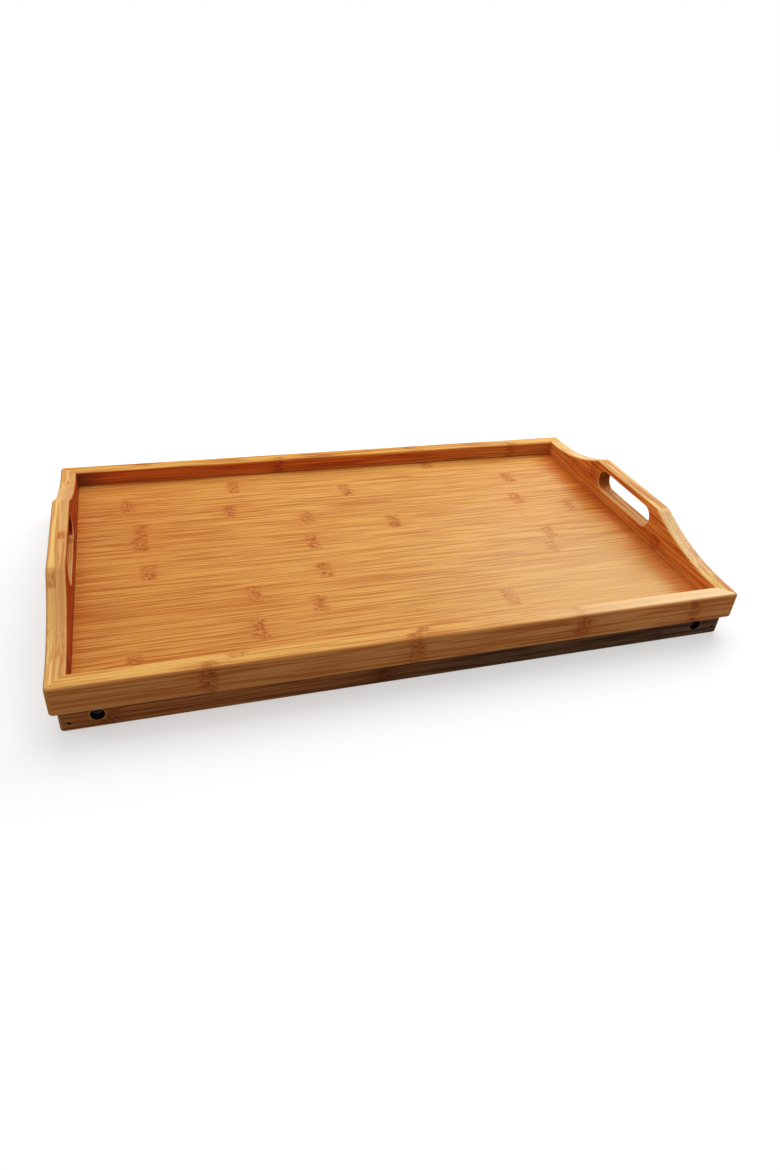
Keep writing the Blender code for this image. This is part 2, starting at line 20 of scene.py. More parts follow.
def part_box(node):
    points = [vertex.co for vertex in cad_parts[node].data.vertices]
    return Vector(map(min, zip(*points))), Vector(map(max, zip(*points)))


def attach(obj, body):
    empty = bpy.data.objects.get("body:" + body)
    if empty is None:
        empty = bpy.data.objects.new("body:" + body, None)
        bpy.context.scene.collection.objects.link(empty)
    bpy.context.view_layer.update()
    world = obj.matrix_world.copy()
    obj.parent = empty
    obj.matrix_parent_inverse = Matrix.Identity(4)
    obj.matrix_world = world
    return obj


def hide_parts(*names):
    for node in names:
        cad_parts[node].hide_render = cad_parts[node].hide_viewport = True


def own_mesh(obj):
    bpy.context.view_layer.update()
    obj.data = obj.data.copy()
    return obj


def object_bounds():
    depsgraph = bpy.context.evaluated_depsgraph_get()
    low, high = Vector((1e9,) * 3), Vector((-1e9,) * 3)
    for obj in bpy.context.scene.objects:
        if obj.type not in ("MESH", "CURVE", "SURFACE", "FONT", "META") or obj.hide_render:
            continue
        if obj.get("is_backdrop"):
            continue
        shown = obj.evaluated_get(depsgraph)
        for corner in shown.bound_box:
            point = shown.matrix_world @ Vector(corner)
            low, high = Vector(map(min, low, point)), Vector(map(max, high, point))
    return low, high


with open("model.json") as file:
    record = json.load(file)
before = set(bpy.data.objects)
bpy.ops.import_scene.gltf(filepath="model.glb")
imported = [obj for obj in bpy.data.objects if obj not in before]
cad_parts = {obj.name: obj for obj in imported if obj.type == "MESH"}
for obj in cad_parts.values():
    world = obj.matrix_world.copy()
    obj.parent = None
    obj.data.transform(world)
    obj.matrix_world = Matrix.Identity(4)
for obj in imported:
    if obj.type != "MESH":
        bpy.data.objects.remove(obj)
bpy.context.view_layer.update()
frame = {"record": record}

# %% [markdown]
# ## Sizes
#
# A piece that replaces a packed one should be cut to the same marks. Typing the numbers again would let the
# two drift apart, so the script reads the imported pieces' boxes and works out every face from them. Only what
# a box can't tell, such as how far an edge is sanded, is written here.

# %% Read the marks for the frame
MM = 0.001

OUT_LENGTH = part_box("right_handle_end")[1].x
OUT_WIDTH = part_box("back_rail")[1].y
IN_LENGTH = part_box("right_handle_end")[0].x
IN_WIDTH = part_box("back_rail")[0].y
RAIL_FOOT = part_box("back_rail")[0].z
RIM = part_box("back_rail")[1].z
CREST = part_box("right_handle_end")[1].z
WALL = OUT_LENGTH - IN_LENGTH

for mark, value in (("The wall is", WALL), ("The rim is at", RIM), ("The crest is at", CREST)):
    print(mark, round(value / MM, 2), "mm")

# %% [markdown]
# ## Drawing with a vertex
#
# A board is cut from a drawn outline. In Blender's editor one would place a vertex, extrude it along, and
# spin it about a centre for each arc. The same two operators serve here: the pen is the last vertex made.
# This keeps every arc a true arc, with as many steps as the close view needs, and no list of points.

# %% A pen that draws in the XZ plane
def line_to(bm, pen, x, z):
    """Draws a straight edge from the pen, and returns the vertex at its end."""
    pen = bmesh.ops.extrude_vert_indiv(bm, verts=[pen])["verts"][0]
    pen.co = (x, 0, z)
    return pen


def arc_about(bm, pen, x, z, turn, steps):
    """Swings the pen about a centre. A positive turn runs from +X up to +Z."""
    made = bmesh.ops.spin(
        bm, geom=[pen], cent=(x, 0, z), axis=(0, -1, 0), angle=turn, steps=steps, use_duplicate=False
    )
    return made["geom_last"][0]


def fill_outline(bm, start, pen):
    """Joins the pen to where it started and fills the outline, as the F key does."""
    bm.edges.new((pen, start))
    return bmesh.ops.contextual_create(bm, geom=bm.edges[:])["faces"]


print("The pen draws straight edges and true arcs")

# %% [markdown]
# ## Working the wood
#
# The rest is what a joiner does. A face is pushed out to a thickness, a block is sawn by a plane, and sharp
# edges are rounded over. Each is one bmesh operator with its settings spelled out, because their defaults
# differ from those of the editor's tools. An operator's result can depend on the order of what it is given,
# so edges and corners are collected in order, and every run makes the same mesh.

# %% Push and saw
WELD = 0.005 * MM
ON_PLANE = WELD / 10
WEAR_AND_SHADE = ("rounded", "end_grain", "drilled", "painted_shade")


def new_piece():
    """An empty bmesh with the layers that the finish reads later."""
    bm = bmesh.new()
    for layer in WEAR_AND_SHADE:
        bm.verts.layers.float.new(layer)
    return bm


def corners_of(items):
    """The corners of edges or faces, each once and always in the same order."""
    return list(dict.fromkeys(vert for item in items for vert in item.verts))


def with_borders(faces):
    """Faces with their edges and corners, as the operators below want them."""
    edges = dict.fromkeys(edge for face in faces for edge in face.edges)
    return [*faces, *edges, *corners_of(faces)]


def only(kind, items):
    """The faces, edges or corners among the things that an operator gives back."""
    return [item for item in items if isinstance(item, kind)]


def push(bm, faces, move):
    """Extrudes faces and moves them, and returns the moved faces."""
    made = bmesh.ops.extrude_face_region(bm, geom=with_borders(faces))["geom"]
    bmesh.ops.translate(bm, vec=move, verts=only(bmesh.types.BMVert, made))
    return only(bmesh.types.BMFace, made)


def saw_off(bm, point, normal):
    """Cuts away what lies on the normal's side of a plane and closes the cut."""
    made = bmesh.ops.bisect_plane(
        bm, geom=with_borders(bm.faces), dist=ON_PLANE, plane_co=point, plane_no=normal, clear_outer=True
    )
    bmesh.ops.holes_fill(bm, edges=only(bmesh.types.BMEdge, made["geom_cut"]), sides=0)


def block(low, high):
    """A squared block of wood between two corners."""
    bm = new_piece()
    made = bmesh.ops.create_cube(bm, size=1)["verts"]
    bmesh.ops.scale(bm, vec=high - low, verts=made)
    bmesh.ops.translate(bm, vec=(low + high) / 2, verts=made)
    return bm


print("Corners nearer than", round(WELD / MM, 3), "mm count as one")

# %% [markdown]
# Rounding over needs the right edges. Naming them by number would break as soon as a step before it changes,
# so they are found by how sharply their faces meet, and by where they lie. Faces in one plane are joined
# first, because a leftover edge between them would stop the rounding.

# %% Find the sharp edges and round them over
SHARP = math.radians(35)
FLAT = math.radians(0.05)
ROUND_STEPS = 6


def sharp_edges(bm, wanted=lambda edge: True):
    """The outward corners of a piece that a test picks, each found by the angle between its faces."""
    bm.normal_update()
    return [edge for edge in bm.edges if edge.calc_face_angle_signed(0) > SHARP and wanted(edge)]


def every_corner(test):
    """Makes a test for edges out of a test for corners: it holds where both ends pass."""
    return lambda edge: all(test(vert) for vert in edge.verts)


def round_over(bm, edges, width, steps=ROUND_STEPS):
    """Takes edges off in a quarter round."""
    bmesh.ops.bevel(
        bm,
        geom=edges,
        offset=width,
        offset_type="OFFSET",
        segments=steps,
        profile=0.5,
        affect="EDGES",
        material=-1,
    )


def tidy_flats(bm):
    """Joins faces that lie in one plane, and turns every face outwards."""
    bmesh.ops.remove_doubles(bm, verts=bm.verts[:], dist=WELD)
    bmesh.ops.dissolve_limit(bm, angle_limit=FLAT, verts=bm.verts[:], edges=bm.edges[:])
    bmesh.ops.recalc_face_normals(bm, faces=bm.faces[:])


print("An edge is sharp from", round(math.degrees(SHARP)), "degrees, and is rounded in", ROUND_STEPS, "steps")

# %% [markdown]
# ## What a surface remembers
#
# Four facts are stored on a piece's corners for the finish to read: how round the surface is there, whether it
# looks along the grain, whether a drill made it, and how much painted shade it gets. Painted shade is full on
# faces that look the piece's shaded way, into the tray for a side and down for a runner. It is about half on
# faces that look the opposite way, and it also lies on drilled faces. They could be painted by hand, but a
# corner's own faces tell them. Where a corner looks is the mean of its faces, in which broad faces count for
# more. The cut of a mitre is left out, because a fact that is wrong at one corner spreads over the whole of a
# long flat face.

# %% Store the wear and the painted shade
FULL_BEND = math.radians(14)
FLAT_BEND = math.radians(8.5)
SHADE_OUTSIDE = 0.55
FULL_SHADE_FROM_DRILLED = 1 / 16


def is_mitre(face):
    """The cut of a mitre is glued shut, so it says nothing about the surface beside it."""
    first, second, upward = (abs(value) for value in face.normal)
    return upward < 0.001 and abs(first - second) < 0.001


def looks_to(vert):
    """Where the surface looks at a corner. Broad faces count for more than narrow ones."""
    seen = [face for face in vert.link_faces if not is_mitre(face)]
    return sum((face.normal * face.calc_area() for face in seen), Vector()).normalized()


def store_wear_and_shade(bm, grain, shade_way):
    """Writes how round each corner is, how far it looks along the grain, and how much painted shade it gets.
    """
    rounded, end_grain, drilled, painted_shade = (bm.verts.layers.float[layer] for layer in WEAR_AND_SHADE)
    bm.normal_update()
    for vert in bm.verts:
        bend = max(edge.calc_face_angle(0) for edge in vert.link_edges)
        vert[rounded] = min(max((bend - FLAT_BEND) / (FULL_BEND - FLAT_BEND), 0), 1) * (1 - vert[drilled])
        normal = looks_to(vert)
        vert[end_grain] = abs(normal.dot(grain))
        way = normal.dot(shade_way)
        # Painted shade: full where the corner looks the shaded way, a share where it looks the opposite way,
        # and on drilled faces.
        vert[painted_shade] = max(2 * way - 1, -SHADE_OUTSIDE * way, min(vert[drilled] / FULL_SHADE_FROM_DRILLED, 1))


print("Each corner keeps", ", ".join(WEAR_AND_SHADE))

# %% [markdown]
# ## Handing a piece over
#
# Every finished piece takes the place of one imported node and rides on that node's body, so that it swings
# with the legs when they open. A weighted normal keeps the broad faces flat to the light, while the rounded
# edges stay smooth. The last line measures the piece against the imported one, so that a slip shows at once.

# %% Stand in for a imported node
BODY_OF = {node: body for body, nodes in frame["record"]["behaviour"]["bodies"].items() for node in nodes}
ALONG_X = Vector((1, 0, 0))
ALONG_Y = Vector((0, 1, 0))
ALONG_Z = Vector((0, 0, 1))
NOWHERE = Vector()
BROAD_FACES_FIRST = 90


def stand_in(bm, node, material, grain=ALONG_X, shade_way=-ALONG_Z):
    """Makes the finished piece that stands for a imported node, and says how well the two boxes agree."""
    bmesh.ops.recalc_face_normals(bm, faces=bm.faces[:])
    store_wear_and_shade(bm, grain, shade_way)
    mesh = bpy.data.meshes.new(f"{node}_finished")
    bm.to_mesh(mesh)
    bm.free()
    mesh.shade_smooth()
    mesh.set_sharp_from_angle(angle=SHARP)
    mesh.materials.append(material)
    piece = bpy.data.objects.new(mesh.name, mesh)
    bpy.context.scene.collection.objects.link(piece)
    flats = piece.modifiers.new("flat_faces_first", "WEIGHTED_NORMAL")
    flats.keep_sharp = True
    flats.weight = BROAD_FACES_FIRST
    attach(piece, BODY_OF[node])
    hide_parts(node)
    low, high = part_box(node)
    corners = [Vector(corner) for corner in piece.bound_box]
    off = max((corners[0] - low).length, (corners[6] - high).length) / MM
    print(f"{piece.name}: {len(mesh.polygons)} faces, corners within {off:.2f} mm of the packed piece")
    return piece


# %% [markdown]
# ## Nodes for a finish
#
# A finish is a small sum over the wood's own coordinates. These helpers add a node, feed its inputs and hand
# back its output, so that the sums below read like sums. In the editor each call is one node with its wires.

# %% Helpers that add a node
NODES_IN_A_ROW = 10
NODE_STEP = (220, -300)


def feed(tree, socket, value):
    """Feeds an input from another node's output, or sets it to a constant."""
    if isinstance(value, bpy.types.NodeSocket):
        tree.links.new(value, socket)
    else:
        socket.default_value = value


def add(tree, kind, feeds=None, **options):
    """Adds a node with its options set and its inputs fed, given by name or number."""
    made = tree.nodes.new(kind)
    row, column = divmod(len(tree.nodes), NODES_IN_A_ROW)
    made.location = (NODE_STEP[0] * column, NODE_STEP[1] * row)
    for option, value in options.items():
        setattr(made, option, value)
    for socket, value in (feeds or {}).items():
        feed(tree, made.inputs[socket], value)
    return made


def calc(tree, operation, *values):
    """One sum on numbers that change over the surface."""
    return add(tree, "ShaderNodeMath", dict(enumerate(values)), operation=operation).outputs[0]


def times(tree, first, *others):
    """The product of two or more numbers."""
    for other in others:
        first = calc(tree, "MULTIPLY", first, other)
    return first


def shift(tree, operation, *values):
    """One sum on vectors."""
    return add(tree, "ShaderNodeVectorMath", dict(enumerate(values)), operation=operation).outputs[0]


def split(tree, vector):
    """The three parts of a vector."""
    return add(tree, "ShaderNodeSeparateXYZ", {0: vector}).outputs


def join(tree, *parts):
    """A vector from its three parts."""
    return add(tree, "ShaderNodeCombineXYZ", dict(enumerate(parts))).outputs[0]


print("Nodes stand in rows of", NODES_IN_A_ROW)

# %% [markdown]
# The patterns are built in the same way. A smooth step turns a distance into a mask, a mix puts one colour
# over another by such a mask, and noise is stretched before it is drawn, by so many features to the metre
# along each axis. That keeps its grain the same on every piece, whatever the piece's size.

# %% Helpers for masks, colours and patterns
def ease(tree, value, low, high):
    """Zero below low, one above high, and a smooth slope between. Low may be the larger one."""
    feeds = {"Value": value, "From Min": low, "From Max": high}
    return add(tree, "ShaderNodeMapRange", feeds, interpolation_type="SMOOTHSTEP").outputs[0]


def tint(tree, amount, first, second, blend="MIX"):
    """Colours first with second, by an amount from 0 to 1."""
    feeds = {0: amount, 6: first, 7: second}
    return add(tree, "ShaderNodeMix", feeds, data_type="RGBA", blend_type=blend).outputs[2]


def noise(tree, vector, per_metre, detail=2.0, roughness=0.5, distortion=0.0):
    """Noise with so many features per metre along each axis."""
    feeds = {
        "Vector": shift(tree, "MULTIPLY", vector, per_metre),
        "Scale": 1.0,
        "Detail": detail,
        "Roughness": roughness,
        "Distortion": distortion,
    }
    return add(tree, "ShaderNodeTexNoise", feeds).outputs[0]


def draw_lots(tree, vector):
    """A random value and a random vector that stay the same wherever the given vector does."""
    return add(tree, "ShaderNodeTexWhiteNoise", {"Vector": vector}, noise_dimensions="3D").outputs


def mask_from(tree, name):
    """One of the facts stored on the corners."""
    return add(tree, "ShaderNodeAttribute", attribute_name=name).outputs["Fac"]


print("Masks are read from", ", ".join(WEAR_AND_SHADE))

# %% [markdown]
# An effect that several materials share is a node group. Its sockets are made by name first, because what a
# group asks for and gives back is its whole use to the material that holds it.

# %% Helpers for node groups
KINDS = {"value": "NodeSocketFloat", "vector": "NodeSocketVector", "colour": "NodeSocketColor"}


def new_group(name, inputs, outputs):
    """A shader group with named sockets, and the nodes that give its inputs and take its outputs."""
    tree = bpy.data.node_groups.new(name, "ShaderNodeTree")
    for sockets, way in ((inputs, "INPUT"), (outputs, "OUTPUT")):
        for socket, kind in sockets.items():
            tree.interface.new_socket(socket, in_out=way, socket_type=KINDS[kind])
    return tree, tree.nodes.new("NodeGroupInput").outputs, tree.nodes.new("NodeGroupOutput").inputs


def spaced(named):
    """Sockets given as keywords. An underscore stands for the space in a socket's name."""
    return {socket.replace("_", " "): value for socket, value in named.items()}


def hand_back(tree, gives, **values):
    """Feeds a group's outputs, and says what it gives."""
    for socket, value in spaced(values).items():
        feed(tree, gives[socket], value)
    print("Group", tree.name, "gives", ", ".join(spaced(values)))


def use(tree, group, **feeds):
    """Places a group in a tree, feeds it and returns its outputs."""
    return add(tree, "ShaderNodeGroup", spaced(feeds), node_tree=group).outputs


print("A socket is a", ", a ".join(KINDS))

# %% [markdown]
# ## How bamboo is laid up
#
# Bamboo boards are glued from strips, each a few millimetres thick and about two centimetres wide. Every
# strip comes from another part of another cane, so its tone, its fibres and its joints differ from its
# neighbour's. The group below numbers the strips from the place in the wood, and draws each strip's own
# random values from its number. Since it works in all three directions, a curve that is sawn through
# several strips shows them as contours, as it does on the real handles.

# %% The strips of a board
GLUE_LINE_EDGE = 0.28 * MM
GLUE_LINE_CORE = 0.02 * MM

strips, given, gives = new_group(
    "Strip lay-up",
    {"Place": "vector", "Width": "value", "Depth": "value", "Seed": "value"},
    {"Strip": "value", "Layer": "value", "Tone": "value", "Draw": "vector", "Glue Line": "value"},
)
place = split(strips, given["Place"])
numbers = []
to_sides = []
for along_axis, size in ((place[1], given["Width"]), (place[2], given["Depth"])):
    at = calc(strips, "DIVIDE", along_axis, size)
    numbers.append(calc(strips, "FLOOR", at))
    from_middle = calc(strips, "ABSOLUTE", calc(strips, "SUBTRACT", calc(strips, "FRACT", at), 0.5))
    to_sides.append(times(strips, calc(strips, "SUBTRACT", 0.5, from_middle), size))
draws = draw_lots(strips, join(strips, *numbers, given["Seed"]))
hand_back(
    strips,
    gives,
    Strip=numbers[0],
    Layer=numbers[1],
    Tone=draws["Value"],
    Draw=draws["Color"],
    Glue_Line=ease(strips, calc(strips, "MINIMUM", *to_sides), GLUE_LINE_EDGE, GLUE_LINE_CORE),
)

# %% [markdown]
# ## Fibres
#
# Bamboo has no growth rings. It has straight fibre bundles, brown in paler ground, fine as a hair and some
# centimetres long, and they show as dots where the wood is cut across. Noise that is stretched some fifty
# times along the grain gives both at once: streaks on the sides, dots on the ends. Three sizes of it are
# laid over each other, since the eye sees the broad bands first and the hair lines only when close.

# %% Three sizes of fibre
BANDS_PER_METRE = (3.5, 130, 130)
HAIRS_PER_METRE = (13, 700, 700)
BUNDLES_PER_METRE = (24, 1000, 1000)
WANDERINGS_PER_METRE = (7, 45, 45)
WANDER = 0.9 * MM

fibres, given, gives = new_group(
    "Fibre streaks",
    {"Place": "vector", "Draw": "vector"},
    {"Bands": "value", "Lines": "value", "Gleams": "value", "Bundles": "value"},
)
moved = shift(fibres, "MULTIPLY_ADD", given["Draw"], (0.9, 0.31, 0.17), given["Place"])
wander = calc(fibres, "SUBTRACT", noise(fibres, moved, WANDERINGS_PER_METRE, detail=1.0), 0.5)
bent = shift(fibres, "ADD", moved, join(fibres, 0.0, times(fibres, wander, WANDER), 0.0))
hairs = noise(fibres, bent, HAIRS_PER_METRE, detail=1.0, roughness=0.55)
hand_back(
    fibres,
    gives,
    Bands=noise(fibres, bent, BANDS_PER_METRE, detail=1.0, roughness=0.55),
    Lines=ease(fibres, hairs, 0.51, 0.56),
    Gleams=ease(fibres, hairs, 0.49, 0.43),
    Bundles=ease(fibres, noise(fibres, bent, BUNDLES_PER_METRE, detail=0.5), 0.51, 0.59),
)

# %% [markdown]
# ## Joints of the cane
#
# Where the cane had a joint, its fibres turn across and cross over each other. On a strip that leaves a
# reddish patch, about as long as a thumb is wide, full of short dark squiggles. The figure is drawn from the
# distance to the joint along the grain. Two groups give that distance: one from places that are stated,
# for strips whose joints can be counted in the photograph, and one from a rhythm, for the rest.

# %% Distance to a joint at a stated place
stated, given, gives = new_group(
    "Stated joints",
    {"Place": "vector", "First Three": "vector", "Fourth": "value"},
    {"Distance": "value"},
)
along = split(stated, given["Place"])[0]
nearest = calc(stated, "SUBTRACT", along, given["Fourth"])
for joint in split(stated, given["First Three"]):
    distance = calc(stated, "SUBTRACT", along, joint)
    nearer = calc(stated, "LESS_THAN", calc(stated, "ABSOLUTE", distance), calc(stated, "ABSOLUTE", nearest))
    nearest = calc(stated, "MULTIPLY_ADD", nearer, calc(stated, "SUBTRACT", distance, nearest), nearest)
hand_back(stated, gives, Distance=nearest)

# %% Distance to a joint by the cane's own rhythm
RHYTHM_PLAY = 0.4
RHYTHM_FROM = 0.3

rhythm, given, gives = new_group(
    "Joint rhythm",
    {"Place": "vector", "Draw": "vector", "Spacing": "value"},
    {"Distance": "value"},
)
draw = split(rhythm, given["Draw"])
along = split(rhythm, given["Place"])[0]
turns = calc(rhythm, "ADD", calc(rhythm, "DIVIDE", along, given["Spacing"]), draw[0])
number = calc(rhythm, "FLOOR", turns)
jitter = draw_lots(rhythm, join(rhythm, number, draw[1], draw[2]))["Value"]
middle = calc(rhythm, "ADD", calc(rhythm, "MULTIPLY_ADD", jitter, RHYTHM_PLAY, RHYTHM_FROM), number)
hand_back(rhythm, gives, Distance=times(rhythm, calc(rhythm, "SUBTRACT", turns, middle), given["Spacing"]))

# %% [markdown]
# The figure itself has four parts. A soft halo reaches some centimetres along the strip. The patch is redder
# and has a ragged outline. The squiggles are the thin ridges where a twisted noise passes its middle value,
# in two sizes, and pale flecks fill the room between them. Both are strongest at the joint's own line.

# %% The figure at a joint
RAGGEDNESS = 14.0 * MM
HALO = (26.0 * MM, 4.0 * MM)
PATCH = (7.6 * MM, 3.6 * MM)
SQUIGGLED = (7.0 * MM, 3.0 * MM)
FINE_SHARE = 0.3

figure, given, gives = new_group(
    "Joint figure",
    {"Place": "vector", "Draw": "vector", "Distance": "value"},
    {"Halo": "value", "Patch": "value", "Flecks": "value", "Squiggles": "value"},
)
moved = shift(figure, "MULTIPLY_ADD", given["Draw"], (0.77, 0.53, 0.29), given["Place"])
ragged = calc(figure, "SUBTRACT", noise(figure, moved, (60, 330, 330), detail=3.0, roughness=0.65), 0.5)
away = calc(figure, "ABSOLUTE", calc(figure, "MULTIPLY_ADD", ragged, RAGGEDNESS, given["Distance"]))
ridges = []
for per_metre, twist in (((110, 180, 180), 1.4), ((300, 560, 560), 1.0)):
    twisted = noise(figure, moved, per_metre, detail=1.0, roughness=0.6, distortion=twist)
    ridges.append(calc(figure, "ABSOLUTE", calc(figure, "SUBTRACT", twisted, 0.5)))
broad_strokes = ease(figure, ridges[0], 0.072, 0.026)
fine_strokes = times(figure, ease(figure, ridges[1], 0.08, 0.03), FINE_SHARE)
near = ease(figure, away, *SQUIGGLED)
hand_back(
    figure,
    gives,
    Halo=ease(figure, away, *HALO),
    Patch=ease(figure, away, *PATCH),
    Flecks=times(figure, ease(figure, ridges[0], 0.10, 0.17), near),
    Squiggles=times(figure, calc(figure, "MAXIMUM", broad_strokes, fine_strokes), near),
)

# %% [markdown]
# ## One bamboo for every wooden piece
#
# The bamboo is steamed to a honey colour, sanded and sprayed with satin lacquer. One group mixes its colours
# for every piece, so that all of them look like one wood, and the same masks also set roughness and height, so
# that colour, gloss and relief agree. The group is built in the order in which the wood came to look so: the
# cane grew, it was sawn and sanded, and then it was lacquered. Painted light and shade go in with the tool
# marks, and layers of painted shade go on last.

# %% Open the bamboo group
TONE_NAMES = ("Pale", "Honey", "Fibre", "Joint", "Squiggle", "Lacquer", "Spot Tone")

bamboo, given, gives = new_group(
    "Honey bamboo",
    {
        "Place": "vector",
        "Tone": "value",
        "Draw": "vector",
        "Glue Line": "value",
        "Distance": "value",
        "Pooled": "value",
        "Spot": "value",
        "Jointed": "value",
        **{tone: "colour" for tone in TONE_NAMES},
    },
    {"Colour": "colour", "Roughness": "value", "Height": "value", "Coat": "value"},
)
seen = use(bamboo, fibres, Place=given["Place"], Draw=given["Draw"])
joint = use(bamboo, figure, Place=given["Place"], Draw=given["Draw"], Distance=given["Distance"])
worn, ends, bored = (mask_from(bamboo, fact) for fact in ("rounded", "end_grain", "drilled"))
across_grain = ease(bamboo, ends, 0.30, 0.90)
slant = ease(bamboo, ends, 0.02, 0.28)
print("Every material gives the bamboo", len(TONE_NAMES), "tones")

# %% [markdown]
# The ground is each strip's own tone, from honey to pale, with the broad bands in it. Hair lines and bundles
# are browner, and the gleams between them are paler. None is equally strong everywhere, and where a curve
# cuts the strip at a slant they lose their length and fade.

# %% The ground and its fibres
FIBRE_CHANGE = 0.35
FADED_BY_SLANT = 0.85

lightness = calc(bamboo, "MULTIPLY_ADD", given["Tone"], 0.30, times(bamboo, seen["Bands"], 0.5))
colour = tint(bamboo, ease(bamboo, lightness, 0.15, 0.65), given["Honey"], given["Pale"])
strong = ease(bamboo, noise(bamboo, given["Place"], (4, 26, 26), detail=1.0), 0.30, 0.70)
along_fibre = calc(bamboo, "MULTIPLY_ADD", slant, -FADED_BY_SLANT, 1.0)
fibre_masks = {}
for mask, least, tone in (("Lines", 0.65, "Fibre"), ("Bundles", 0.45, "Fibre"), ("Gleams", 0.50, "Pale")):
    share = times(bamboo, calc(bamboo, "MULTIPLY_ADD", strong, FIBRE_CHANGE, least), along_fibre)
    fibre_masks[mask] = times(bamboo, seen[mask], share)
    colour = tint(bamboo, fibre_masks[mask], colour, given[tone])
print("Over the ground lie", ", ".join(fibre_masks))

# %% [markdown]
# The joints lie over the fibres, since they hide them. Each part of their figure has its own share, and the
# squiggles the largest, because they are what the eye reads as bamboo.

# %% The joints in the wood
for mask, share, tone in (
    ("Halo", 0.20, "Joint"),
    ("Patch", 0.55, "Joint"),
    ("Flecks", 0.45, "Pale"),
    ("Squiggles", 0.95, "Squiggle"),
):
    amount = times(bamboo, joint[mask], share, given["Jointed"])
    colour = tint(bamboo, amount, colour, given[tone])
squiggles = amount
print("The last part of a joint is its squiggles, at a share of", share)

# %% [markdown]
# Then come the marks of the tools. A slanting cut opens the pores: it has a tone of its own, and is freckled
# with the ends of the bundles. Sanded edges are paler, because they cut through the strip's skin. End grain
# turns brown, since it drinks more lacquer. A drilled hole is painted near black, which is painted shade in
# the bore.

# %% What the tools left, and the painted shade in bores
FRECKLES_PER_METRE = (900, 1100, 1100)

freckles = ease(bamboo, noise(bamboo, given["Place"], FRECKLES_PER_METRE, detail=1.0), 0.50, 0.64)
# The spot tone: painted light and shade on four pieces, namely a sheen, two highlights and a corner shade, and
# a stain on the left handle end.
colour = tint(bamboo, given["Spot"], colour, given["Spot Tone"])
colour = tint(bamboo, times(bamboo, freckles, slant, 0.50), colour, given["Fibre"])
tool_marks_and_bore_shade = (
    (given["Glue Line"], 0.42, (0.28, 0.070, 0.010, 1)),
    (worn, 0.22, (0.84, 0.50, 0.14, 1)),
    (across_grain, 0.45, (0.36, 0.12, 0.020, 1)),
    # Painted shade: a drilled bore is painted near black.
    (bored, 0.95, (0.045, 0.020, 0.012, 1)),
)
for mask, share, tone in tool_marks_and_bore_shade:
    colour = tint(bamboo, times(bamboo, mask, share), colour, tone)
print("Tools left", len(tool_marks_and_bore_shade), "marks of their own colour")

# %% [markdown]
# Painted shade darkens the wood as coloured glass does, by multiplying with the shade tone. Where it is
# deepest, two or three layers of it lie over each other. A mix node stops at a factor of one, so each further
# layer is a mix of its own.

# %% Layers of painted shade
SHADE_LAYERS = 3

for below in range(SHADE_LAYERS):
    share = calc(bamboo, "SUBTRACT", given["Pooled"], float(below))
    colour = tint(bamboo, share, colour, given["Lacquer"], "MULTIPLY")
print("Lacquer lies in up to", SHADE_LAYERS, "shade_share")

# %% [markdown]
# Satin lacquer is unevenly glossy, and duller where it sank in. It sinks a little over pores and glue lines,
# and has a fine orange peel of its own. A thin clear coat gives the sheen, except in raw holes, on squiggles
# and where shade is painted.

# %% Gloss, relief and clear coat
CLEAR_COAT = 0.11

smudges = noise(bamboo, given["Place"], (22, 34, 34), detail=3.0)
orange_peel = noise(bamboo, given["Place"], (420, 420, 420), detail=1.0)
gloss = calc(bamboo, "MULTIPLY_ADD", smudges, 0.14, 0.40)
for mask, duller in ((fibre_masks["Lines"], 0.06), (across_grain, 0.12), (squiggles, 0.22), (bored, 0.30)):
    gloss = calc(bamboo, "MULTIPLY_ADD", mask, duller, gloss)
relief = 0.0
for mask, height in (
    (fibre_masks["Lines"], -0.30),
    (seen["Bundles"], -0.45),
    (joint["Squiggles"], -0.35),
    (given["Glue Line"], -0.60),
    (orange_peel, 0.55),
):
    relief = calc(bamboo, "MULTIPLY_ADD", mask, height, relief)
under_shade = ease(bamboo, given["Pooled"], 0.0, 0.60)
matt = calc(bamboo, "MAXIMUM", calc(bamboo, "MAXIMUM", bored, under_shade), times(bamboo, squiggles, 0.8))
clear_coat = times(bamboo, calc(bamboo, "SUBTRACT", 1.0, matt), CLEAR_COAT)
hand_back(bamboo, gives, Colour=colour, Roughness=gloss, Height=relief, Coat=clear_coat)

# %% [markdown]
# ## Tones for each kind of piece
#
# The pieces of a tray come from different canes, and some of them carry painted shade, so each kind has its
# own seven tones, set against the photograph. They are red, green and blue as light adds them: half the number
# is half the light. The shade tone is what a full layer of painted shade multiplies by. The spot tone is what
# one place on a piece is painted with: a painted sheen on the board, a painted highlight on the front rail and
# on the right handle end, painted shade in the back rail's corner, and a stain on the left handle end.

# %% Tones of the board and the right handle end
def name_tones(**colours):
    """Colours as a material's inputs want them: with a capital letter in their names, and an alpha of 1."""
    return {name.title(): (*colour, 1) for name, colour in spaced(colours).items()}


BOARD_TONES = name_tones(
    pale=(0.70, 0.345, 0.077),
    honey=(0.65, 0.272, 0.048),
    fibre=(0.43, 0.100, 0.009),
    joint=(0.55, 0.135, 0.012),
    squiggle=(0.31, 0.040, 0.004),
    lacquer=(0.86, 0.57, 0.40),
    spot_tone=(0.76, 0.490, 0.220),
)
FRAME_TONES = name_tones(
    pale=(0.86, 0.560, 0.180),
    honey=(0.76, 0.400, 0.100),
    fibre=(0.50, 0.170, 0.030),
    joint=(0.50, 0.145, 0.020),
    squiggle=(0.34, 0.075, 0.012),
    lacquer=(0.94, 0.51, 0.32),
    spot_tone=(0.94, 0.69, 0.43),
)
print("A kind of piece has the tones", ", ".join(FRAME_TONES))
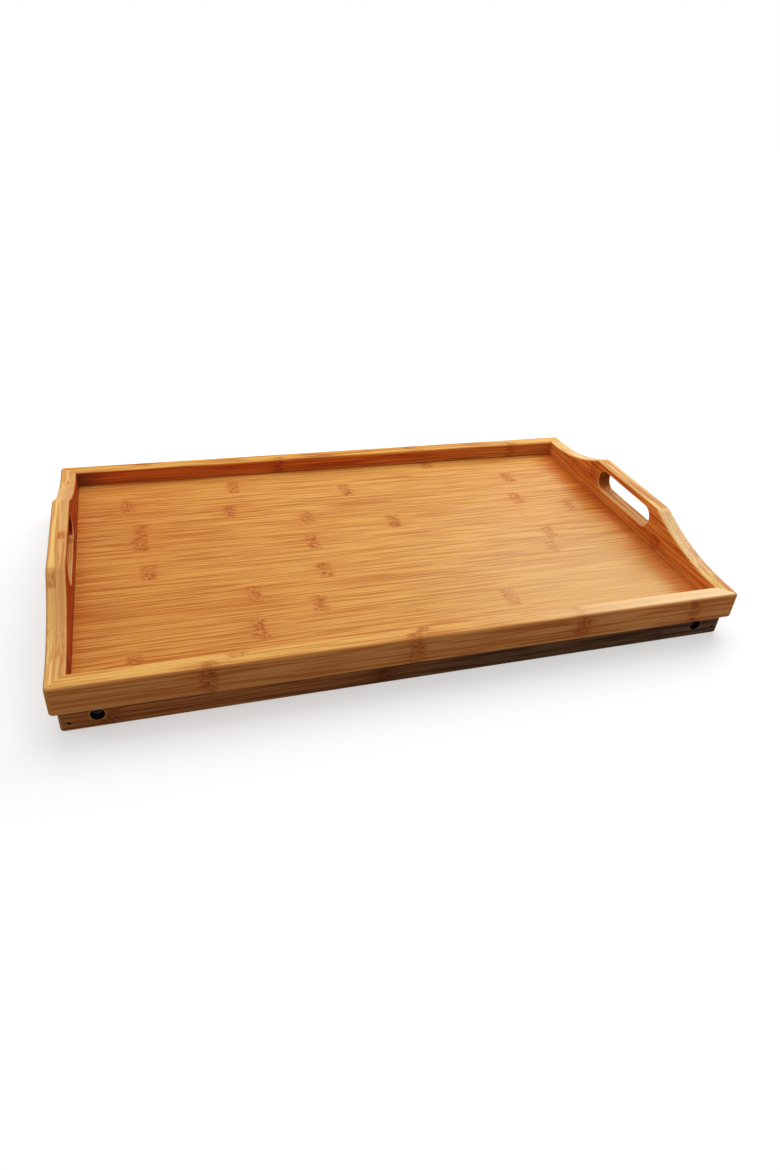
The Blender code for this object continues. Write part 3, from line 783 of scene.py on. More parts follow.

# %% [markdown]
# The front rail is the same wood as the right handle end, a little deeper, with a shade tone that lets more
# blue through, so only what differs is written. The left handle end and the back rail have rows of their own.
# The one is the palest of the four, with a very brown stain on its top and a very dark shade tone for the
# painted shade on its faces. The other is the deepest, with a dark spot tone for the painted shade in its
# corner.

# %% Tones of the other three sides
FRONT_TONES = FRAME_TONES | name_tones(
    pale=(0.80, 0.435, 0.110),
    honey=(0.71, 0.330, 0.070),
    fibre=(0.54, 0.190, 0.032),
    lacquer=(0.93, 0.54, 0.74),
    spot_tone=(0.93, 0.66, 0.36),
)
LEFT_TONES = name_tones(
    pale=(0.92, 0.620, 0.205),
    honey=(0.83, 0.480, 0.135),
    fibre=(0.68, 0.310, 0.075),
    joint=(0.50, 0.140, 0.015),
    squiggle=(0.36, 0.080, 0.010),
    lacquer=(0.37, 0.055, 0.018),
    spot_tone=(0.46, 0.130, 0.040),
)
BACK_TONES = name_tones(
    pale=(0.80, 0.420, 0.070),
    honey=(0.68, 0.275, 0.040),
    fibre=(0.42, 0.110, 0.012),
    joint=(0.40, 0.090, 0.010),
    squiggle=(0.26, 0.045, 0.006),
    lacquer=(0.86, 0.47, 0.43),
    spot_tone=(0.10, 0.050, 0.045),
)
print("The front rail changes", sum(FRONT_TONES[name] != FRAME_TONES[name] for name in TONE_NAMES), "tones")

# %% [markdown]
# Below the tray two more rows are enough. The runners are deep brown, partly as painted shade under the rail.
# The battens, legs and cross bars can't be seen in the photograph, and are taken to be plain honey bamboo.

# %% Tones of what lies below
UNDER_TONES = name_tones(
    pale=(0.76, 0.400, 0.090),
    honey=(0.64, 0.260, 0.040),
    fibre=(0.42, 0.110, 0.014),
    joint=(0.46, 0.115, 0.012),
    squiggle=(0.30, 0.055, 0.006),
    lacquer=(0.93, 0.40, 0.26),
    spot_tone=(0.76, 0.400, 0.090),
)
SHADED_RUNNER_TONES = name_tones(
    pale=(0.53, 0.185, 0.046),
    honey=(0.40, 0.117, 0.027),
    fibre=(0.20, 0.045, 0.012),
    joint=(0.25, 0.052, 0.010),
    squiggle=(0.18, 0.036, 0.007),
    lacquer=(0.26, 0.40, 0.80),
    spot_tone=(0.50, 0.165, 0.032),
)
print("The runners' honey is", SHADED_RUNNER_TONES["Honey"][:3])

# %% [markdown]
# ## Looking up a strip's joints
#
# A material can't read a list, but a colour ramp with constant steps can hold one. Each step is a strip, and
# the four channels of its colour are the places of up to four joints. A strip with fewer joints has the rest
# far off the tray. Pieces whose joints weren't counted follow the cane's own rhythm.

# %% A table of joints in a colour ramp
CHANNELS = 4
ABSENT = 9000
JOINT_SPACING = 0.23


def joints_by_strip(tree, strip, stated_joints):
    """Looks up a strip's joints in the steps of a colour ramp, where one colour holds up to four places."""
    table = add(tree, "ShaderNodeValToRGB")
    ramp = table.color_ramp
    ramp.interpolation = "CONSTANT"
    count = len(stated_joints)
    feed(tree, table.inputs[0], calc(tree, "DIVIDE", calc(tree, "ADD", strip, 0.5), count))
    while len(ramp.elements) < count:
        ramp.elements.new(1.0)
    for number, places in enumerate(stated_joints):
        ramp.elements[number].position = number / count
        four = (*places, *[ABSENT] * (CHANNELS - len(places)))
        ramp.elements[number].color = [place * MM for place in four]
    return table.outputs


def joint_distance(tree, place, lay_up, strip, stated_joints):
    """Distance to the nearest joint of a strip, by a list of joints or by the cane's own rhythm."""
    if not stated_joints:
        return use(tree, rhythm, Place=place, Draw=lay_up["Draw"], Spacing=JOINT_SPACING)["Distance"]
    four = joints_by_strip(tree, strip, stated_joints)
    return use(tree, stated, Place=place, First_Three=four["Color"], Fourth=four["Alpha"])["Distance"]


print("A joint that isn't there is", round(ABSENT * MM), "m away")

# %% [markdown]
# ## Where shade is painted
#
# The facts stored on the corners say where shade can be painted. How much of it is painted differs from piece
# to piece: in the photograph the board is redder along its two ends, the back rail's inner face is deeper
# towards the left, and the front runner towards the right, and each of these is painted here as shade. Each
# case is a function of the node tree, the place in the wood and the piece's length, so that a material can be
# given any one of them.

# %% Painted shade on the board, the back rail and the runners
RAGGED_EDGE = 30 * MM
RIGHT_END_SHADE = 1.8
LEFT_END_SHADE = 0.8
LEFT_HALF_SHADE = 0.52
RIGHT_END = (22 * MM, 12 * MM)
LEFT_END = (20 * MM, -14 * MM)
LEFT_HALF = 0.60
BACK_SHADE = 0.75
RUNNER_SHADE = 0.95


def distance_along(tree, place):
    """How far a place lies along a piece, counted from its left end."""
    return split(tree, place)[0]


def board_shade(tree, place, length):
    """Painted shade on the board: along its two ends, most on the right, and deeper to the left."""
    along = distance_along(tree, place)
    ragged = noise(tree, place, (9, 420, 420), detail=1.0, roughness=0.6)
    rightmost = calc(tree, "MULTIPLY_ADD", ragged, RAGGED_EDGE, along)
    leftmost = calc(tree, "MULTIPLY_ADD", ragged, -RAGGED_EDGE, along)
    to_right = ease(tree, rightmost, length - RIGHT_END[0], length + RIGHT_END[1])
    to_left = ease(tree, leftmost, *LEFT_END)
    leftwards = ease(tree, along, length * LEFT_HALF, 0.0)
    thickest = times(tree, leftwards, LEFT_HALF_SHADE)
    for mask, shade_share in ((to_right, RIGHT_END_SHADE), (to_left, LEFT_END_SHADE)):
        thickest = calc(tree, "MAXIMUM", thickest, times(tree, mask, shade_share))
    return thickest


def back_rail_shade(tree, place, length):
    """Painted shade on the back rail's inner face, deeper leftwards, up to twice what it is on the right."""
    leftwards = ease(tree, distance_along(tree, place), length * 0.95, length * 0.45)
    shade_share = calc(tree, "MULTIPLY_ADD", leftwards, BACK_SHADE, BACK_SHADE)
    return times(tree, mask_from(tree, "painted_shade"), shade_share)


def runner_shade(tree, place, length):
    """Painted shade that darkens a runner towards its right end."""
    rightwards = ease(tree, distance_along(tree, place), length * 0.15, length * 0.65)
    return calc(tree, "MAXIMUM", mask_from(tree, "painted_shade"), times(tree, rightwards, RUNNER_SHADE))


def stored_shade(tree, place, length):
    """Elsewhere painted shade lies as the stored fact says."""
    return mask_from(tree, "painted_shade")


print("The board's right end has up to", RIGHT_END_SHADE, "shade_share")

# %% [markdown]
# ## Spots that differ
#
# Five pieces have a place where the photograph shows another tone. A painted sheen makes the board more golden
# near its right end, and a painted highlight makes the front rail paler there. Painted shade darkens the back
# rail's back left corner, and a painted highlight makes the right handle end pale on its slopes. The left one
# is stained. Each function gives how much of the spot tone shows.

# %% Painted sheen, highlight and shade on the board and the rails
SHEEN_SHARE = 0.50
SHEEN_DEPTH = (0.24, 0.04)
CORNER_SHADE_SHARE = 0.95
CORNER_SHADE_REACH = (44 * MM, 12 * MM)
HIGHLIGHT_SHARE = 0.90


def painted_sheen_right(tree, place, length):
    """A painted sheen makes the near right part of the board more golden."""
    along, across = split(tree, place)[:2]
    rightwards = ease(tree, along, length * 0.45, length * 0.85)
    return times(tree, rightwards, SHEEN_SHARE, ease(tree, across, *SHEEN_DEPTH))


def painted_corner_shade(tree, place, length):
    """Painted shade darkens the back left corner."""
    corner = ease(tree, distance_along(tree, place), *CORNER_SHADE_REACH)
    return times(tree, corner, mask_from(tree, "painted_shade"), CORNER_SHADE_SHARE)


def painted_highlight_right(tree, place, length):
    """A painted highlight makes the front rail's top paler towards the right."""
    rightwards = ease(tree, distance_along(tree, place), length * 0.50, length)
    return times(tree, rightwards, HIGHLIGHT_SHARE, ease(tree, mask_from(tree, "painted_shade"), 0.60, 0.0))


print("The dark corner ends", round(CORNER_SHADE_REACH[0] / MM), "mm from the back rail's left end")

# %% [markdown]
# A handle end's slopes cut its fibres at a slant, and its crest and corners don't. The stored end grain tells
# them apart: it is small on the flats, larger on the slopes and full on a cut end.

# %% Painted highlight and stain on the handle ends
SLOPE_HIGHLIGHT_SHARE = 0.50
STAIN_SHARE = 0.55
STAIN_FROM, STAIN_TO = 0.10 * WALL, 0.95 * WALL
SLOPE_STAIN = 0.16


def on_slope(tree):
    """The slopes of a handle end cut the fibres at a slant."""
    ends = mask_from(tree, "end_grain")
    return times(tree, ease(tree, ends, 0.02, 0.26), ease(tree, ends, 0.80, 0.55))


def on_top(tree):
    """Faces that look up, where no shade is painted."""
    return ease(tree, mask_from(tree, "painted_shade"), 0.50, 0.10)


def painted_slope_highlight(tree, place, length):
    """A painted highlight makes the right end's slopes pale."""
    return times(tree, on_slope(tree), on_top(tree), SLOPE_HIGHLIGHT_SHARE)


def stained_inwards(tree, place, length):
    """The left end's top is browner towards the tray, and its slopes are browner than its crest."""
    inwards = times(tree, ease(tree, split(tree, place)[2], STAIN_FROM, STAIN_TO), STAIN_SHARE)
    return times(tree, calc(tree, "MULTIPLY_ADD", on_slope(tree), SLOPE_STAIN, inwards), on_top(tree))


print("The left end's stain starts", round(STAIN_FROM / MM, 1), "mm from its outer face")

# %% [markdown]
# ## A material for one kind of piece
#
# A material says where its wood starts and which way it lies. Object coordinates are moved to the piece's low
# corner and put in the order along, across and through the strips. After that every board can use the same
# groups, whichever way it points.

# %% Start a material
def new_material(name):
    """A material with its node tree."""
    material = bpy.data.materials.new(name)
    material.use_nodes = True
    return material, material.node_tree


def feed_shader(tree, **values):
    """Feeds the inputs of a material's Principled BSDF."""
    for socket, value in spaced(values).items():
        feed(tree, tree.nodes["Principled BSDF"].inputs[socket], value)


def wood_coordinates(tree, origin, order):
    """Place in the wood, from a piece's low corner, in the order along, across and through its strips."""
    seat = add(tree, "ShaderNodeTexCoord").outputs["Object"]
    centred = add(tree, "ShaderNodeMapping", {"Vector": seat, "Location": -origin}).outputs[0]
    axes = dict(zip("XYZ", split(tree, centred)))
    return join(tree, *(axes[axis] for axis in order))


print("A material's coordinates start at a corner of its piece")

# %% [markdown]
# One function then makes the bamboo of every piece. It could be one material for the whole tray, but then a
# strip would run from one piece into the next. The grid of strips is a touch larger than the piece, so that no
# outer face lies on a glue line. What differs from piece to piece comes in as arguments: how many strips,
# which joints, which tones, how painted shade lies and where a spot is.

# %% Make bamboo for a piece
TRIM = 0.6 * MM
SPEC_LEVEL = 0.04
LACQUER_ROUGHNESS = 0.36
LACQUER_IOR = 1.48
GRAIN_RELIEF = 0.10 * MM
RELIEF_STRENGTH = 0.6


def make_bamboo(
    name,
    node,
    order,
    across,
    through,
    seed,
    stated_joints=None,
    tones=FRAME_TONES,
    spare=(TRIM, TRIM),
    lacquer=stored_shade,
    spot=None,
    jointed=0.7,
):
    """Bamboo for pieces shaped like one node, so many strips across and through. Order names its axes."""
    low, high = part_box(node)
    rows = ["XYZ".index(axis) for axis in order]
    origin = low - Vector([{rows[1]: spare[0], rows[2]: TRIM}.get(row, 0) for row in range(3)])
    length, wide, thick = ((high - low)[row] for row in rows)
    width, depth = (wide + sum(spare)) / across, (thick + 2 * TRIM) / through
    material, tree = new_material(name)
    place = wood_coordinates(tree, origin, order)
    lay_up = use(tree, strips, Place=place, Width=width, Depth=depth, Seed=seed)
    strip = lay_up["Strip" if across >= through else "Layer"]
    wood = use(
        tree,
        bamboo,
        Place=place,
        Tone=lay_up["Tone"],
        Draw=lay_up["Draw"],
        Glue_Line=lay_up["Glue Line"],
        Distance=joint_distance(tree, place, lay_up, strip, stated_joints),
        Pooled=lacquer(tree, place, length),
        Spot=spot(tree, place, length) if spot else 0.0,
        Jointed=jointed,
        **tones,
    )
    relief = {"Height": wood["Height"], "Distance": GRAIN_RELIEF, "Strength": RELIEF_STRENGTH}
    feed_shader(
        tree,
        Base_Color=wood["Colour"],
        Roughness=wood["Roughness"],
        Coat_Weight=wood["Coat"],
        Normal=add(tree, "ShaderNodeBump", relief).outputs[0],
        Specular_IOR_Level=SPEC_LEVEL,
        Coat_Roughness=LACQUER_ROUGHNESS,
        Coat_IOR=LACQUER_IOR,
    )
    print("Finish", name, "has strips of", round(width / MM, 1), "by", round(depth / MM, 1), "mm")
    return material


# %% [markdown]
# ## The sides of the frame
#
# The long rails are plain. The handle ends rise to a flat crest over a hand slot and fall in a long hollow
# sweep to each corner. One could model the whole frame at once and cut it up. Here each side is drawn on its
# own, half of it, as if it faced the viewer, and mirrored later. The sweep and the small round at the crest
# touch without a kink, because their radii are worked out from how far the sweep runs and how high it rises.

# %% Outlines of a rail and of a handle end
SLOT_LENGTH = 85.0 * MM
SLOT_HEIGHT = 19.0 * MM
SLOT_TOP = CREST - 5.2 * MM
SLOT_MIDDLE = SLOT_TOP - SLOT_HEIGHT / 2
SLOT_REACH = (SLOT_LENGTH - SLOT_HEIGHT) / 2
CREST_REACH = SLOT_LENGTH / 2 + 5.0 * MM
SHOULDER = 12.0 * MM
SWEEP_STEPS = 28
SHOULDER_STEPS = 10
SLOT_END_STEPS = 28

run = IN_WIDTH - CREST_REACH
rise = CREST - RIM
reach = (run**2 + rise**2) / (2 * rise)
SWEEP = reach - SHOULDER
SWEEP_TURN = math.asin(run / reach)


def draw_rail(bm):
    """Half of a plain rail."""
    start = bm.verts.new((0, 0, RAIL_FOOT))
    pen = line_to(bm, start, OUT_LENGTH, RAIL_FOOT)
    pen = line_to(bm, pen, OUT_LENGTH, RIM)
    return start, line_to(bm, pen, 0, RIM)


def draw_handle_end(bm):
    """Half of a handle end: up the corner, along the sweep to the crest, and round the hand slot."""
    start = bm.verts.new((0, 0, RAIL_FOOT))
    pen = line_to(bm, start, OUT_WIDTH, RAIL_FOOT)
    pen = line_to(bm, pen, OUT_WIDTH, RIM)
    pen = line_to(bm, pen, IN_WIDTH, RIM)
    pen = arc_about(bm, pen, IN_WIDTH, RIM + SWEEP, -SWEEP_TURN, SWEEP_STEPS)
    pen = arc_about(bm, pen, CREST_REACH, CREST - SHOULDER, SWEEP_TURN, SHOULDER_STEPS)
    pen = line_to(bm, pen, 0, CREST)
    pen = line_to(bm, pen, 0, SLOT_TOP)
    pen = line_to(bm, pen, SLOT_REACH, SLOT_TOP)
    pen = arc_about(bm, pen, SLOT_REACH, SLOT_MIDDLE, -math.pi, SLOT_END_STEPS)
    return start, line_to(bm, pen, 0, SLOT_TOP - SLOT_HEIGHT)


print("The sweep is an arc of", round(SWEEP / MM, 1), "mm radius")
print("It turns", round(math.degrees(SWEEP_TURN), 1), "degrees before it meets the crest")

# %% [markdown]
# The outline is pushed to the wall's thickness in two moves, so that the groove for the board stays open
# between the lips of the second move. Cutting the groove out afterwards would take a boolean. Then the half
# is mirrored.

# %% Groove and mirror a side
GROOVE_DEPTH = 4.8 * MM
GROOVE_PLAY = 0.3 * MM
TONGUE_STEP = 1.0 * MM
TONGUE_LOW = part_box("base_panel")[0].z + TONGUE_STEP
TONGUE_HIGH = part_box("base_panel")[1].z - TONGUE_STEP


def grooved_side(draw):
    """One side of the frame, facing -Y with its outer face at y = 0, before any edge is rounded."""
    bm = new_piece()
    face = fill_outline(bm, *draw(bm))
    core = push(bm, face, Vector((0, WALL - GROOVE_DEPTH, 0)))
    for height in (TONGUE_LOW - GROOVE_PLAY, TONGUE_HIGH + GROOVE_PLAY):
        plane = {"plane_co": (0, 0, height), "plane_no": ALONG_Z}
        made = bmesh.ops.bisect_plane(bm, geom=with_borders(core), dist=ON_PLANE, **plane)["geom"]
        core = only(bmesh.types.BMFace, made)
    lips = [face for face in core if not TONGUE_LOW < face.calc_center_bounds().z < TONGUE_HIGH]
    push(bm, lips, Vector((0, GROOVE_DEPTH, 0)))
    middle = [face for face in bm.faces if all(abs(vert.co.x) < WELD for vert in face.verts)]
    bmesh.ops.delete(bm, geom=middle, context="FACES")
    bmesh.ops.mirror(bm, geom=with_borders(bm.faces), matrix=Matrix.Identity(4), merge_dist=WELD, axis="X")
    tidy_flats(bm)
    return bm


print("The groove is", round(GROOVE_DEPTH / MM, 1), "mm deep")

# %% [markdown]
# The upright corners are sanded first and then the loops, so that each loop runs round the corner in one
# sweep. The cut faces of the hand slot get painted shade, a little on its long walls and most at its two ends.
# A small mark in the layer for drilled faces carries it.

# %% Round the corners, the loops and the hand slot, and paint shade in the slot
CORNER_ROUND = 3.0 * MM
CORNER_STEPS = 8
FOOT_ROUND = 2.2 * MM
RIM_ROUND = 2.0 * MM
SLOT_ROUND = 1.0 * MM
SLOT_SHADE = 0.02
SLOT_END_SHADE = 0.60


def on_slot(vert):
    """Whether a corner lies on the hand slot."""
    return abs(vert.co.x) < SLOT_LENGTH / 2 + WELD and abs(vert.co.z - SLOT_MIDDLE) < SLOT_HEIGHT / 2 + WELD


def paint_slot_shade(bm):
    """Marks the cut faces of the hand slot, inside its rounded rims, for painted shade."""
    drilled = bm.verts.layers.float["drilled"]
    bm.normal_update()
    for vert in bm.verts:
        inside = min(vert.co.y, WALL - vert.co.y) > 0.8 * SLOT_ROUND
        if inside and on_slot(vert):
            vert[drilled] = SLOT_SHADE + SLOT_END_SHADE * abs(vert.normal.x) ** 2


def round_the_side(bm, half_run, has_slot):
    """Sands the corners first and then the loops."""
    at_corner = every_corner(lambda vert: abs(abs(vert.co.x) - half_run) < WELD and vert.co.y < WELD)
    at_foot = every_corner(lambda vert: vert.co.z < RAIL_FOOT + WELD)
    over_rim = every_corner(lambda vert: vert.co.z > RIM - WELD)
    at_slot = every_corner(on_slot)
    round_over(bm, sharp_edges(bm, at_corner), CORNER_ROUND, CORNER_STEPS)
    round_over(bm, sharp_edges(bm, at_foot), FOOT_ROUND)
    rims = sharp_edges(bm, lambda edge: over_rim(edge) and not (has_slot and at_slot(edge)))
    round_over(bm, rims, RIM_ROUND)
    if has_slot:
        round_over(bm, sharp_edges(bm, at_slot), SLOT_ROUND)
        paint_slot_shade(bm)


print("Corners are rounded to", round(CORNER_ROUND / MM, 1), "mm and rims to", round(RIM_ROUND / MM, 1), "mm")

# %% [markdown]
# Last the side is sawn off at 45 degrees at both ends, a hair short, so that the glued mitre shows as a fine
# line. Then it is moved out and turned to where it belongs.

# %% Mitre a side and set it in place
MITRE_GAP = 0.2 * MM


def finish_side(node, draw, half_run, distance, quarter_turns, material, grain):
    """Grooves, rounds and mitres one side, and turns it to where it belongs."""
    bm = grooved_side(draw)
    round_the_side(bm, half_run, has_slot=draw is draw_handle_end)
    for way in (-1, 1):
        saw_off(bm, Vector((way * (half_run - MITRE_GAP / 2), 0, 0)), Vector((way, 1, 0)))
    bmesh.ops.translate(bm, vec=(0, -distance, 0), verts=bm.verts[:])
    turn = Matrix.Rotation(quarter_turns * math.pi / 2, 3, "Z")
    bmesh.ops.rotate(bm, cent=(0, 0, 0), matrix=turn, verts=bm.verts[:])
    return stand_in(bm, node, material, grain, turn @ ALONG_Y)


print("A mitre shows as a line of", round(MITRE_GAP / MM, 1), "mm")

# %% [markdown]
# ### Finishes of the four sides
#
# A rail is two layers of bamboo glued face to face, each as high as the rail. The joints of the cane on the
# front rail can be counted in the photograph: four on its face, and three on the layer behind it, which show
# on top. The ends are two strips high. Their strips run from front to back.

# %% Make the rails and the handle ends
FRONT_JOINTS = [(96, 236, 365, 462), (116, 243, 360)]
BACK_JOINTS = [(194, 440), (70, 330)]

front_bamboo = make_bamboo(
    "front_rail_bamboo", "front_rail", "XZY", 1, 2, 3.0, FRONT_JOINTS, FRONT_TONES, spot=painted_highlight_right
)
back_bamboo = make_bamboo(
    "back_rail_bamboo",
    "back_rail",
    "XZY",
    1,
    2,
    11.0,
    BACK_JOINTS,
    BACK_TONES,
    lacquer=back_rail_shade,
    spot=painted_corner_shade,
)
left_bamboo = make_bamboo(
    "left_end_bamboo", "left_handle_end", "YZX", 2, 2, 5.0, None, LEFT_TONES, spot=stained_inwards
)
right_bamboo = make_bamboo("right_end_bamboo", "right_handle_end", "YZX", 2, 2, 7.0, spot=painted_slope_highlight)

finish_side("front_rail", draw_rail, OUT_LENGTH, OUT_WIDTH, 0, front_bamboo, ALONG_X)
finish_side("back_rail", draw_rail, OUT_LENGTH, OUT_WIDTH, 2, back_bamboo, ALONG_X)
finish_side("right_handle_end", draw_handle_end, OUT_WIDTH, OUT_LENGTH, 1, right_bamboo, ALONG_Y)
finish_side("left_handle_end", draw_handle_end, OUT_WIDTH, OUT_LENGTH, -1, left_bamboo, ALONG_Y)

# %% [markdown]
# ## The board
#
# The board is one layer of strips laid side by side, a little over two centimetres wide. It was sawn from a
# wider sheet, so its first and last strips are narrower. The joints of its canes can all be counted in the
# photograph. They are kept as a list, one row to a strip from the front to the back, in millimetres from
# the left edge.

# %% The board's strips and joints
BOARD_JOINTS = [
    (302,),
    (44,),
    (322, 128),
    (476, 176),
    (131,),
    (391, 190),
    (58, 400),
    (190,),
    (442, 268, 53),
    (398, 194, 55),
    (130,),
    (408, 241, 45),
    (139,),
    (336,),
]
SAWN_OFF = (13.1 * MM, 4.1 * MM)

board_bamboo = make_bamboo(
    "board_bamboo",
    "base_panel",
    "XYZ",
    len(BOARD_JOINTS),
    1,
    2.0,
    BOARD_JOINTS,
    BOARD_TONES,
    spare=SAWN_OFF,
    lacquer=board_shade,
    spot=painted_sheen_right,
    jointed=1.0,
)

# %% [markdown]
# The board's edge is thinned to a tongue that slides in the frame's groove. In the editor one would inset the
# top face and push it up. The script does that above and below.

# %% Make the board
BOARD_ROUND = 0.4 * MM


def make_board():
    """A thin sheet, as large as the board with its tongue, whose two broad faces are inset and pushed out."""
    low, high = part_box("base_panel")
    tongue = high.x - (IN_LENGTH - GROOVE_PLAY)
    bm = block(Vector((*low.xy, TONGUE_LOW)), Vector((*high.xy, TONGUE_HIGH)))
    bm.normal_update()
    for way in (1, -1):
        broad = [face for face in bm.faces if face.normal.z * way > 0.9]
        bmesh.ops.inset_region(bm, faces=broad, thickness=tongue, use_even_offset=True)
        push(bm, broad, Vector((0, 0, way * (high.z - TONGUE_HIGH))))
        bm.normal_update()
    tidy_flats(bm)
    upper = sharp_edges(bm, every_corner(lambda vert: vert.co.z > high.z - WELD))
    round_over(bm, upper, BOARD_ROUND)
    return stand_in(bm, "base_panel", board_bamboo, shade_way=NOWHERE)


make_board()

# %% [markdown]
# ## Holes
#
# A boolean would cut a hole in one step and leave long thin faces round it. Opening a square in the flat face
# and bridging it to a spun bore takes a few more operators, but the faces round the hole stay clean, and the
# bore can have the small sanded lip that a real one has. The profile is written from the mouth inwards, as
# pairs of radius and depth. The same turned surface makes screws, nuts and washers later.

# %% Turn a profile
HOLE_SIDES = 32


def spin_profile(bm, centre, inward, profile, sides=HOLE_SIDES, closed=False):
    """Turns a profile of (radius, depth) pairs about an axis, and returns the edges of the surface."""
    known = set(bm.edges)
    pens = [bm.verts.new(centre + ALONG_X * radius + inward * depth) for radius, depth in profile]
    chain = [bm.edges.new(pair) for pair in zip(pens, pens[1:])]
    if closed:
        chain.append(bm.edges.new((pens[-1], pens[0])))
    bmesh.ops.spin(
        bm,
        geom=[*pens, *chain],
        cent=centre,
        axis=inward,
        angle=2 * math.pi,
        steps=sides,
        use_merge=True,
        use_duplicate=False,
    )
    made = [edge for edge in bm.edges if edge not in known]
    bmesh.ops.remove_doubles(bm, verts=corners_of(made), dist=ON_PLANE)
    return [edge for edge in bm.edges if edge not in known]


def ring_at(edges, centre, inward, radius, depth):
    """The edges of a turned surface that lie on one circle."""

    def on_ring(vert):
        down = (vert.co - centre).dot(inward)
        out = (vert.co - centre - inward * down).length
        return abs(down - depth) < WELD and abs(out - radius) < WELD

    return [edge for edge in edges if every_corner(on_ring)(edge)]


print("Holes have", HOLE_SIDES, "sides")

# %% [markdown]
# The square is cut by four saw planes that touch only the face that holds the hole. Its rim gets as many
# parts as the hole has sides, so that the bridge between them is made of plain quads.

# %% Open a square in a face
SAME_WAY = 0.999


def face_holding(bm, point, facing):
    """The flat face that looks one way and holds a point."""
    for face in bm.faces:
        if face.normal.dot(facing) < SAME_WAY or abs((face.verts[0].co - point).dot(facing)) > WELD:
            continue
        spans = [sorted(vert.co[axis] for vert in face.verts) for axis in (0, 2)]
        if all(span[0] < point[axis] < span[-1] for span, axis in zip(spans, (0, 2))):
            return face
    raise ValueError(f"no face holds {tuple(point)}")


def open_edges(bm):
    """Edges that have a face on one side only."""
    return [edge for edge in bm.edges if len(edge.link_faces) == 1]


def open_square(bm, point, facing, half):
    """Cuts a square out of a flat face round a point, and returns its rim in as many parts as a hole has."""
    known = set(open_edges(bm))
    for axis in (ALONG_X, ALONG_Z):
        for way in (-1, 1):
            face = face_holding(bm, point, facing)
            plane = {"plane_co": point + axis * way * half, "plane_no": axis}
            bmesh.ops.bisect_plane(bm, geom=with_borders([face]), dist=ON_PLANE, **plane)
    square = face_holding(bm, point, facing)
    rim = list(square.edges)
    bmesh.ops.delete(bm, geom=[square], context="FACES_ONLY")
    bmesh.ops.subdivide_edges(bm, edges=rim, cuts=HOLE_SIDES // 4 - 1)
    return [edge for edge in open_edges(bm) if edge not in known]


print("A quarter of a square's rim has", HOLE_SIDES // 4, "parts")

# %% [markdown]
# With these two a drill is short: it opens the square, spins the bore and bridges them, at the mouth and, for
# a through hole, on the far face too. It also marks the bore as drilled, so that the finish paints it near
# black as painted shade.

# %% Drill a hole
SQUARE_ROUND_MOUTH = 1.25
SQUARE_ROUND_EXIT = 1.6
LIP = 0.35 * MM


def drill(bm, mouth, inward, profile, through=False):
    """Drills a hole with a turned profile, through to the far face or closed at its bottom."""
    drilled = bm.verts.layers.float["drilled"]
    end_radius, end_depth = profile[-1]
    bm.normal_update()
    rim = open_square(bm, mouth, -inward, profile[0][0] * SQUARE_ROUND_MOUTH)
    if through:
        far_rim = open_square(bm, mouth + inward * end_depth, inward, end_radius * SQUARE_ROUND_EXIT)
    wall = spin_profile(bm, mouth, inward, profile)
    for vert in corners_of(wall):
        depth = (vert.co - mouth).dot(inward)
        vert[drilled] = float(WELD < depth and (depth < end_depth - WELD or not through))
    bmesh.ops.bridge_loops(bm, edges=rim + ring_at(wall, mouth, inward, *profile[0]))
    if through:
        bmesh.ops.bridge_loops(bm, edges=far_rim + ring_at(wall, mouth, inward, *profile[-1]))


def lipped(radius, *rest):
    """A drilled hole's profile: the small sanded lip at its mouth, and then the rest."""
    return [(radius + LIP, 0), (radius + 0.3 * LIP, 0.25 * LIP), (radius, LIP), *rest]


print("A hole's lip is", round(LIP / MM, 2), "mm wide")

# %% [markdown]
# ## Where the holes go
#
# Each piece below is one of a set: two sides of the tray, two ends, and a screw where they meet. Their boxes
# say where everything goes. A screw's hole is bored from the outer face of the piece that it passes
# through, straight inwards, so three things are enough for it: the mouth, the way in, and the depth.

# %% Sides, ends and seats
SIDES = {"front": -1, "back": 1}
ENDS = {"left": -1, "right": 1}
CORNERS = [(side_name, side, end_name) for side_name, side in SIDES.items() for end_name in ENDS]


def middle_of(node):
    """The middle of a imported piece's box."""
    low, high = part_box(node)
    return (low + high) / 2


def on_face(node, y):
    """The point on the plane y that a piece's axis passes through."""
    middle = middle_of(node)
    return Vector((middle.x, y, middle.z))


def seat_of(node, side):
    """The middle of a piece's outer face, the way inwards from it, and how deep the piece is that way."""
    low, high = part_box(node)
    outer = side * max(abs(low.y), abs(high.y))
    return on_face(node, outer), Vector((0, -side, 0)), high.y - low.y


for side_name, side, end_name in CORNERS:
    pivot = seat_of(f"pivot_screw_{side_name}_{end_name}", side)[0]
    print("Pivot", side_name, end_name, "starts at", [round(value / MM, 1) for value in pivot], "mm")

# %% [markdown]
# ## The runners
#
# A runner lies under each long rail, set back a little, and its lower and end edges are rounded. Near each
# end it has a counterbore for a pivot screw, and beside it the dot of a brad that pins the end batten. It
# could be cut from one outline with its holes, but a squared block that is rounded and drilled is how the
# real one is made, and shows where each face came from.

# %% Make the runners
RUNNER_ROUND = 2.4 * MM
POCKET = 4.3 * MM
POCKET_DEPTH = 5.45 * MM
PIVOT_BORE = 2.7 * MM
PUNCH = 1.05 * MM
PUNCH_DEPTH = 2.15 * MM
BRAD_BORE = 0.75 * MM
RUNNER_SEED = 23.0


